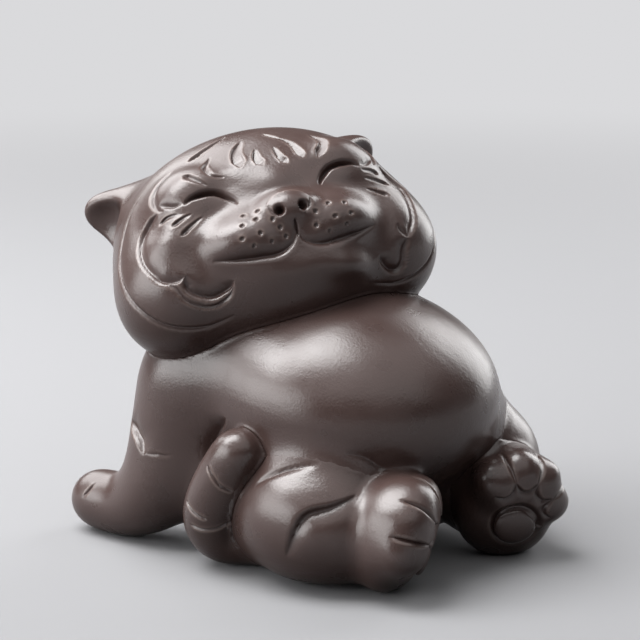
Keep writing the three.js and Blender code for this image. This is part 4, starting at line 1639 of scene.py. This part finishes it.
@dataclass
class HindLegs(Part):
    """Hind legs splayed forward, and their feet with soles up.

    Bearings are degrees from a foot's upright, in its own frame, whose sole faces -Y.
    """

    hip: tuple[float, ...] = (15.2, -0.8, 11, 10.8)
    knees: Pair = Pair((-20.5, -12, 12, 11.8), (18.9, -16.7, 15.7, 12))
    ankle_offset: Triple = (1.5, 6, -0.6)
    ankle_radius: float = 8.8
    path_steps: int = 18
    leg_blend: float = 6.0
    foot_centres: Pair = Pair((-15.5, -26, 10.4), (14.5, -27.5, 10.4))
    foot_size: Triple = (18.6, 13.6, 21.2)
    foot_blend: Pair = Pair(2.2, 1.4)
    toe_in: float = 28.0
    tip: float = -10.0
    roll: float = 15.0
    toe_bearings: Pair = Pair((-38, 6, 41, 80), (-52, -8, 32, 72))
    toe_out: float = 6.0
    toe_forward: float = 3.4
    toe_size: Triple = (8.0, 8.0, 10.0)
    toe_softness: Pair = Pair(3.6, 2.0)
    heel_ball: Lump = ((2.9, 0.8, -2.7), (15.4, 12.6, 15.6), 2.0)
    pad_centre: Triple = (0.3, -6.2, -2.2)
    pad_size: Triple = (8.4, 2.4, 7.2)
    pad_blend: float = 0.3
    pad_heart: float = -6.5

    toe_gaps: Pair = Pair((-13, 24, 58), (-27, 12, 52))
    # Distance out and forward of a cut between toes, from the sole over the edge
    gap_route: Route = ((6.6, -7.4), (8.2, -6.4), (9.6, -4), (10.3, -1.6))
    gap_cut: Stroke = Stroke((), 0.6, 0.34, lip=0.06)
    # Share of the way from one gap to the next and distance out, round a toe's pad on the sole
    toe_edge: Route = ((0, 6.8), (0.2, 5.1), (0.5, 4.7), (0.8, 5.1), (1, 6.8))
    toe_cut: Stroke = Stroke((), 0.6, 0.34, shoulder=1.1, lip=0.08)
    outer_toes: Span = (40, 36)
    sole: float = -7.4
    ring_gap: float = 0.1
    ring_sole: float = -7.0
    ring_points: int = 17
    ring_cut: Stroke = Stroke((), 0.7, 0.8, lip=0.05, fade=0.001)
    route_steps: int = 8

    leg_grid: Rolled = Rolled(rows=110, sectors=130)
    foot_grid: Globe = Globe(rows=150, sectors=180, reach=24.0)
    pad_grid: Globe = Globe(rows=40, sectors=90, reach=24.0)

    def form(self, side: Side) -> Taper:
        """One hind leg, from the hip over the knee to the ankle.

        Args:
            side: Which leg.

        Returns:
            The leg's form.
        """
        x, y, z, radius = self.hip
        ankle = np.array(self.foot_centres.on(side)) + np.array(self.ankle_offset) * (side, 1, 1)
        stations = ((side * x, y, z, radius), self.knees.on(side), (*ankle, self.ankle_radius))
        return Taper(stations, self.path_steps)

    def placed(self, side: Side, form: Form) -> Placed:
        """A form of a foot's frame: soles towards each other, tipped up, toes leaning outwards.

        Args:
            side: Which foot.
            form: The form in the foot's frame.

        Returns:
            The form in the figure's frame.
        """
        inwards = turn(Axis.Z, -side * self.toe_in)
        frame = inwards @ turn(Axis.X, -self.tip) @ turn(Axis.Y, side * self.roll)
        return Placed(form, self.foot_centres.on(side), frame)

    @staticmethod
    def spoke(side: Side, bearing: float, out: float, forward: float) -> Triple:
        """A point of the foot's frame at a bearing from its upright."""
        angle = math.radians(bearing)
        return side * out * math.sin(angle), forward, out * math.cos(angle)

    def foot_form(self, side: Side) -> Placed:
        """Heel and toes run together, in the figure's frame; the left heel is fuller on its outer side.

        Args:
            side: Which foot.

        Returns:
            The foot's form.
        """
        toes = []
        for bearing in self.toe_bearings.on(side):
            place = self.spoke(side, bearing, self.toe_out, -self.toe_forward)
            toes.append((Ovoid(place, self.toe_size, turn(Axis.Y, side * bearing)), self.toe_softness.on(side)))
        if side is Side.LEFT:
            centre, size, softness = self.heel_ball
            toes.append((Ovoid(centre, size), softness))
        return self.placed(side, Cluster(Ovoid((0, 0, 0), self.foot_size), tuple(toes)))

    def pad_form(self, side: Side) -> Placed:
        """The round pad of a sole, in the figure's frame."""
        x, y, z = self.pad_centre
        return self.placed(side, Ovoid((side * x, y, z), self.pad_size))

    def members(self) -> dict[str, Member]:
        """Both legs, then both feet, then both sole pads.

        Returns:
            The forms by name.
        """
        legs = {side.word + "_hind_leg": Member(self.form(side), self.leg_blend) for side in Side}
        feet = {side.word + "_foot": Member(self.foot_form(side), self.foot_blend.on(side)) for side in Side}
        pads = {side.word + "_sole_pad": Member(self.pad_form(side), self.pad_blend) for side in Side}
        return {**legs, **feet, **pads}

    def toe_cuts(self, side: Side, skin: Skin) -> Carving:
        """Cuts between the toes of one foot, from the sole over the edge, and round the toes' and the sole's pads.

        Args:
            side: Which foot.
            skin: The foot's skin.

        Returns:
            The cuts with their routes.
        """
        gaps = self.toe_gaps.on(side)
        cuts = [(self.gap_cut, [self.spoke(side, gap, *step) for step in self.gap_route]) for gap in gaps]
        first, last = self.outer_toes
        for start, end in zip((gaps[0] - first, *gaps), (*gaps, gaps[-1] + last)):
            edge = [self.spoke(side, start + share * (end - start), out, self.sole) for share, out in self.toe_edge]
            cuts.append((self.toe_cut, edge[::-side]))
        x, _, z = self.pad_centre
        wide, _, tall = self.pad_size
        rounds = np.linspace(0, 2 * np.pi, self.ring_points)
        across, upwards = (wide / 2 + self.ring_gap) * np.cos(rounds), (tall / 2 + self.ring_gap) * np.sin(rounds)
        level = np.full_like(rounds, self.ring_sole)
        cuts.append((self.ring_cut, np.stack([side * x + across, level, z + upwards], -1)))

        place = self.foot_form(side)
        strokes, routes = [], []
        for cut, local in cuts:
            points = skin.settle(place.outwards(np.array(local, np.float32)))
            strokes.append(replace(cut, route=tuple(map(tuple, points))))
            routes.append(skin.settle(smooth_route(points, self.route_steps * len(points)).astype(np.float32)))
        return Carving(strokes, routes)

    def build(self, site: Site) -> None:
        """Makes both legs, feet and sole pads; the tail lies against the right leg.

        Args:
            site: What they are built with.
        """
        for side in Side:
            leg, foot, pad = (side.word + end for end in ("_hind_leg", "_foot", "_sole_pad"))
            near = ("torso", foot, "tail") if side is Side.RIGHT else ("torso", foot)
            self.leg_grid.build(self.form(side), Skin(site.figure, leg, near), site)
            place = self.foot_form(side)
            sole = np.array((0, -1, 0)) @ place.turned.T
            x, _, z = self.pad_centre
            middles = place.outwards(np.array(((0, 0, 0), (side * x, self.pad_heart, z)), np.float32))
            cuts = self.toe_cuts(side, Skin(site.figure, foot, ()))
            for node, grid, middle, skin, carving in (
                (side.word + "_hind_foot", self.foot_grid, middles[0], Skin(site.figure, foot, (leg, "torso")), cuts),
                (pad, self.pad_grid, middles[1], Skin(site.figure, pad, (foot,)), Carving([], [])),
            ):
                grid.build(node, middle, sole, skin, carving, site.shop)


@dataclass
class Tail(Part):
    """A rolled tail from under the right thigh, along the ground and up the flank, with incised rings."""

    stations: Route = (
        (-14, -4, 8, 6.5), (-19.3, 1.5, 6.2, 6), (-23, 6.4, 5.7, 5.6), (-26, 6.3, 8.6, 5.4), (-27.4, 5, 11.8, 5.3),
        (-28, 2.2, 16.8, 5.1), (-28, -1.9, 23.3, 4.6),
    )
    path_steps: int = 40
    blend: float = 1.3
    grid: Rolled = Rolled(rows=190, sectors=110)

    def form(self) -> Taper:
        """The tail."""
        return Taper(self.stations, self.path_steps)

    def members(self) -> dict[str, Member]:
        """The tail alone."""
        return {"tail": Member(self.form(), self.blend)}

    def build(self, site: Site) -> None:
        """Makes the tail with what the site holds."""
        self.grid.build(self.form(), Skin(site.figure, "tail", ("torso", "right_hind_leg")), site)


@dataclass
class BodyLines:
    """Folds and creases cut into the body, by points in millimetres on the tiger's right side.

    The thigh's folds and the tail's rings are on that side only.
    """

    belly_crease: Stroke = Stroke(
        ((-20.4, -20.2, 24.8), (-18.1, -22.5, 23.9), (-15.3, -24.1, 21.8), (-13.3, -26.1, 20.7)),
        0.5, 0.6, shoulder=1.6, fade=0.5,
    )
    elbow_fold: Stroke = Stroke(
        ((-26.2, 27, 23.6), (-27.1, 26, 22.7), (-28.8, 22.7, 21), (-29.2, 20.7, 18.7)),
        1.3, 0.4, shoulder=2.4, lip=0.1,
    )
    elbow_line: Stroke = Stroke(
        ((-29.2, 20.5, 18.9), (-28.5, 17.9, 19.2), (-27.9, 16.5, 19.1), (-27.3, 15.3, 19.5)),
        0.12, 0.25, lip=0.03,
    )
    arm_crease: Stroke = Stroke(((-24, 10.6, 18), (-24.4, 7.1, 23.7), (-25.7, 3.6, 27.7)), 1.2, 0.4, shoulder=1.8)
    paw_line: Stroke = Stroke(((-27.2, 36, 10), (-28.2, 36.6, 8.8), (-28.8, 37.6, 7.4)), 0.4, 0.3, lip=0.06)
    tail_rings: tuple[Route, ...] = (
        ((-32.7, 1.1, 21.2), (-32.8, -0.5, 19.1), (-32.2, -1.6, 17.7), (-31, -2.6, 16.9), (-30.4, -2.9, 16.6)),
        ((-32.2, 6.9, 13.6), (-32.8, 4.6, 11.9), (-31.9, 2.1, 10.9)),
        ((-32.1, 6.2, 9.4), (-31.6, 3.6, 8.7), (-29.8, 1, 9.3), (-28.7, -0.4, 10.3)),
    )
    tail_ring: Stroke = Stroke((), 0.35, 0.28, lip=0.08, fade=0.1)
    thigh_top: Stroke = Stroke(
        ((-23.9, -17.3, 23.1), (-25.9, -14.5, 22.5), (-27.4, -11.4, 21.5), (-28.6, -8.7, 19.9), (-29.2, -7.1, 18.5)),
        0.8, 0.3, shoulder=0.7, lip=0.04, fade=0.4,
    )
    thigh_fold: Stroke = Stroke(
        ((-21.6, -23.7, 18.3), (-24.3, -22.9, 17.5), (-26.6, -21.7, 16.8), (-29.4, -19, 15.7), (-30.7, -17.7, 13.2),
         (-31, -16.6, 10.1), (-30.7, -15.6, 7.8)),
        1.3, 0.35, shoulder=2.6, lip=0.04, fade=0.4,
    )
    route_steps: int = 6
    free_margin: float = 99.0

    def strokes(self) -> list[Stroke]:
        """Cuts of the body, those of the belly and the arms repeated on the left.

        Returns:
            The cuts, in the order in which the skin is gathered to them.
        """
        paired = [self.belly_crease, self.elbow_fold, self.elbow_line, self.arm_crease, self.paw_line]
        rings = [replace(self.tail_ring, route=route) for route in self.tail_rings]
        return paired + [stroke.mirrored() for stroke in paired] + rings + [self.thigh_top, self.thigh_fold]

    def carving(self, figure: Figure) -> Carving:
        """The cuts laid on the skin of the whole body, where nothing dives.

        Args:
            figure: All forms.

        Returns:
            The cuts with their routes.
        """
        first, *others = figure.body
        skin = Skin(figure, first, tuple(others), dive=0.0, margin=self.free_margin)
        strokes, routes = self.strokes(), []
        for stroke in strokes:
            points = skin.settle(np.array(stroke.route, np.float32))
            routes.append(skin.settle(smooth_route(points, self.route_steps * len(points)).astype(np.float32)))
        return Carving(strokes, routes)


# The studio


@dataclass(frozen=True)
class Lamp:
    """A soft box, by its direction in the camera's right, up and backward, its distance and size in metres."""

    name: str
    towards: Triple
    distance: float
    size: Span
    watts: float


@dataclass
class Studio:
    """Pale floor, soft lights and the camera."""

    azimuth: float = -48.0
    elevation: float = 12.3
    distance: float = 450.0
    scale: float = 5.4
    origin_pixel: Span = (337.0, 541.0)
    frame_pixels: float = 640.0
    sensor: float = 36.0
    clip_start: float = 0.01
    floor_half: float = 30.0
    floor_rim: float = 1.0
    glow_colour: Triple = (0.70, 0.70, 0.715)
    glow_span: Span = (0.2, 0.65)
    floor_colour: Triple = (0.33, 0.33, 0.34)
    bounce_colour: Triple = (0.06, 0.06, 0.06)
    world_colour: Triple = (0.80, 0.80, 0.82)
    world_strength: float = 0.05
    lit_point: Triple = (0, 0.005, 0.035)
    lamps: tuple[Lamp, ...] = (
        Lamp("back_box", (-0.5, 0.75, -0.43), 0.6, (0.42, 0.5), 2.5),
        Lamp("top_box", (-0.46, 0.86, 0.2), 0.6, (0.36, 0.6), 5.6),
        Lamp("right_box", (0.65, 0.53, -0.55), 0.6, (0.32, 0.5), 2.1),
        Lamp("side_box", (-0.9, 0.2, 0.38), 0.8, (0.8, 0.4), 3.9),
        Lamp("front_box", (0.12, 0.78, 0.61), 0.9, (1.6, 1.2), 3.5),
    )

    def axes(self) -> tuple[Array, Array, Array]:
        """The camera's right, up and backward directions.

        Returns:
            Three unit vectors.
        """
        a, e = math.radians(self.azimuth), math.radians(self.elevation)
        back = np.array((math.sin(a) * math.cos(e), -math.cos(a) * math.cos(e), math.sin(e)))
        right = np.array((math.cos(a), math.sin(a), 0))
        return right, np.cross(back, right), back

    @staticmethod
    def placed(name: str, data: bpy.types.ID, axes: Sequence[Array], place: Array) -> bpy.types.Object:
        """An object with its own axes at a place.

        Args:
            name: Its name.
            data: Its camera or lamp.
            axes: Its X, Y and Z directions.
            place: Its place in metres.

        Returns:
            The new object.
        """
        matrix = np.eye(4)
        matrix[:3, :3] = np.stack(axes, 1)
        matrix[:3, 3] = place
        thing = bpy.data.objects.new(name, data)
        thing.matrix_world = Matrix(matrix.tolist())
        bpy.context.scene.collection.objects.link(thing)
        return thing

    def set_camera(self) -> None:
        """Places the camera so that the origin and the scale fall where the photograph has them."""
        right, up, back = self.axes()
        focal = self.scale * self.distance
        x, y = ((pixel - self.frame_pixels / 2) / focal for pixel in self.origin_pixel)
        data = bpy.data.cameras.new("camera")
        data.sensor_width = self.sensor
        data.lens = self.sensor * focal / self.frame_pixels
        data.clip_start = self.clip_start
        place = self.distance * (back - x * right + y * up) * MM
        bpy.context.scene.camera = self.placed("camera", data, (right, up, back), place)

    def set_lamp(self, lamp: Lamp) -> None:
        """Places a soft box that looks at the figure's middle.

        Args:
            lamp: The soft box.
        """
        direction = unit(np.array(lamp.towards) @ np.stack(self.axes()))
        side = unit(np.cross((0, 0, 1), direction))
        data = bpy.data.lights.new(lamp.name, "AREA")
        data.shape = "RECTANGLE"
        data.size, data.size_y = lamp.size
        data.energy = lamp.watts
        place = np.array(self.lit_point) + direction * lamp.distance
        self.placed(lamp.name, data, (side, np.cross(direction, side), direction), place)

    def floor_paint(self) -> bpy.types.Material:
        """A matt floor that is pale to the camera and in reflections, and throws less light back up.

        Far off, where the lamps don't reach, the camera and reflections see it glow as pale as it is near by.

        Returns:
            The new material.
        """
        paint = bpy.data.materials.new("pale_floor")
        paint.use_nodes = True
        nodes = Nodes(paint.node_tree)
        nodes.tree.nodes.remove(nodes.tree.nodes["Principled BSDF"])
        bounce, near = (
            nodes.add("ShaderNodeBsdfDiffuse", "BSDF", {"Color": (*colour, 1)})
            for colour in (self.bounce_colour, self.floor_colour)
        )
        glow = nodes.add("ShaderNodeEmission", "Emission", {"Color": (*self.glow_colour, 1)})
        place = nodes.add("ShaderNodeTexCoord", "Object")
        away = nodes.add("ShaderNodeVectorMath", "Value", {0: place}, operation="LENGTH")
        start, end = self.glow_span
        share = nodes.add(
            "ShaderNodeMapRange", "Result", {"Value": away, "From Min": start, "From Max": end},
            interpolation_type="SMOOTHSTEP",
        )
        pale = nodes.add("ShaderNodeMixShader", "Shader", {"Fac": share, 1: near, 2: glow})
        seen, *others = (
            nodes.add("ShaderNodeLightPath", kind)
            for kind in ("Is Camera Ray", "Is Glossy Ray", "Is Transmission Ray")
        )
        for other in others:
            seen = nodes.add("ShaderNodeMath", "Value", {0: seen, 1: other}, operation="MAXIMUM")
        surface = nodes.add("ShaderNodeMixShader", "Shader", {"Fac": seen, 1: bounce, 2: pale})
        nodes.fill("Material Output", {"Surface": surface})
        return paint

    def set_floor(self) -> None:
        """A wide floor with a low wall round it."""
        corners = np.array([(-1, -1, 0), (1, -1, 0), (1, 1, 0), (-1, 1, 0)]) * self.floor_half
        corners = np.concatenate([corners, corners + (0, 0, self.floor_rim)])
        walls = [(1, 0, 4, 5), (2, 1, 5, 6), (3, 2, 6, 7), (0, 3, 7, 4)]
        data = bpy.data.meshes.new("floor")
        data.from_pydata(corners.tolist(), [], [(0, 1, 2, 3), *walls])
        data.materials.append(self.floor_paint())
        floor = bpy.data.objects.new("floor", data)
        bpy.context.scene.collection.objects.link(floor)
        floor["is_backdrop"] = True

    def build(self) -> None:
        """Makes the camera, the lamps, the world and the floor."""
        self.set_camera()
        for lamp in self.lamps:
            self.set_lamp(lamp)
        world = bpy.data.worlds.new("studio")
        world.use_nodes = True
        background = world.node_tree.nodes["Background"]
        background.inputs["Color"].default_value = (*self.world_colour, 1)
        background.inputs["Strength"].default_value = self.world_strength
        bpy.context.scene.world = world
        self.set_floor()
        bpy.context.scene.view_settings.view_transform = "Standard"


def run_of(parts: Sequence[Part]) -> dict[str, Member]:
    """The forms of some sub-assemblies, in the order in which they run together."""
    return {name: member for part in parts for name, member in part.members().items()}


def main() -> None:
    """Builds the figure piece by piece and sets it in the studio."""
    logging.basicConfig(level=logging.INFO, format="%(name)s: %(message)s")
    solid_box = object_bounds()
    torso, head, limbs = Torso(), Head(), (Forelegs(), HindLegs(), Tail())
    ears = Ears(head)
    figure = Figure(run_of((torso, *limbs)), run_of((head, ears)))
    shop = Workshop(Clay().material(), fine=1.0)
    site = Site(figure, BodyLines().carving(figure), shop)
    for part in (torso, head, ears, *limbs):
        part.build(site)
    Studio().build()
    boxes = {"cad": solid_box, "visual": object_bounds()}
    {name: [list(corner) for corner in box] for name, box in boxes.items()}
    LOG.info("%d pieces made", len(shop.pieces))


if __name__ == "__main__":
    main()
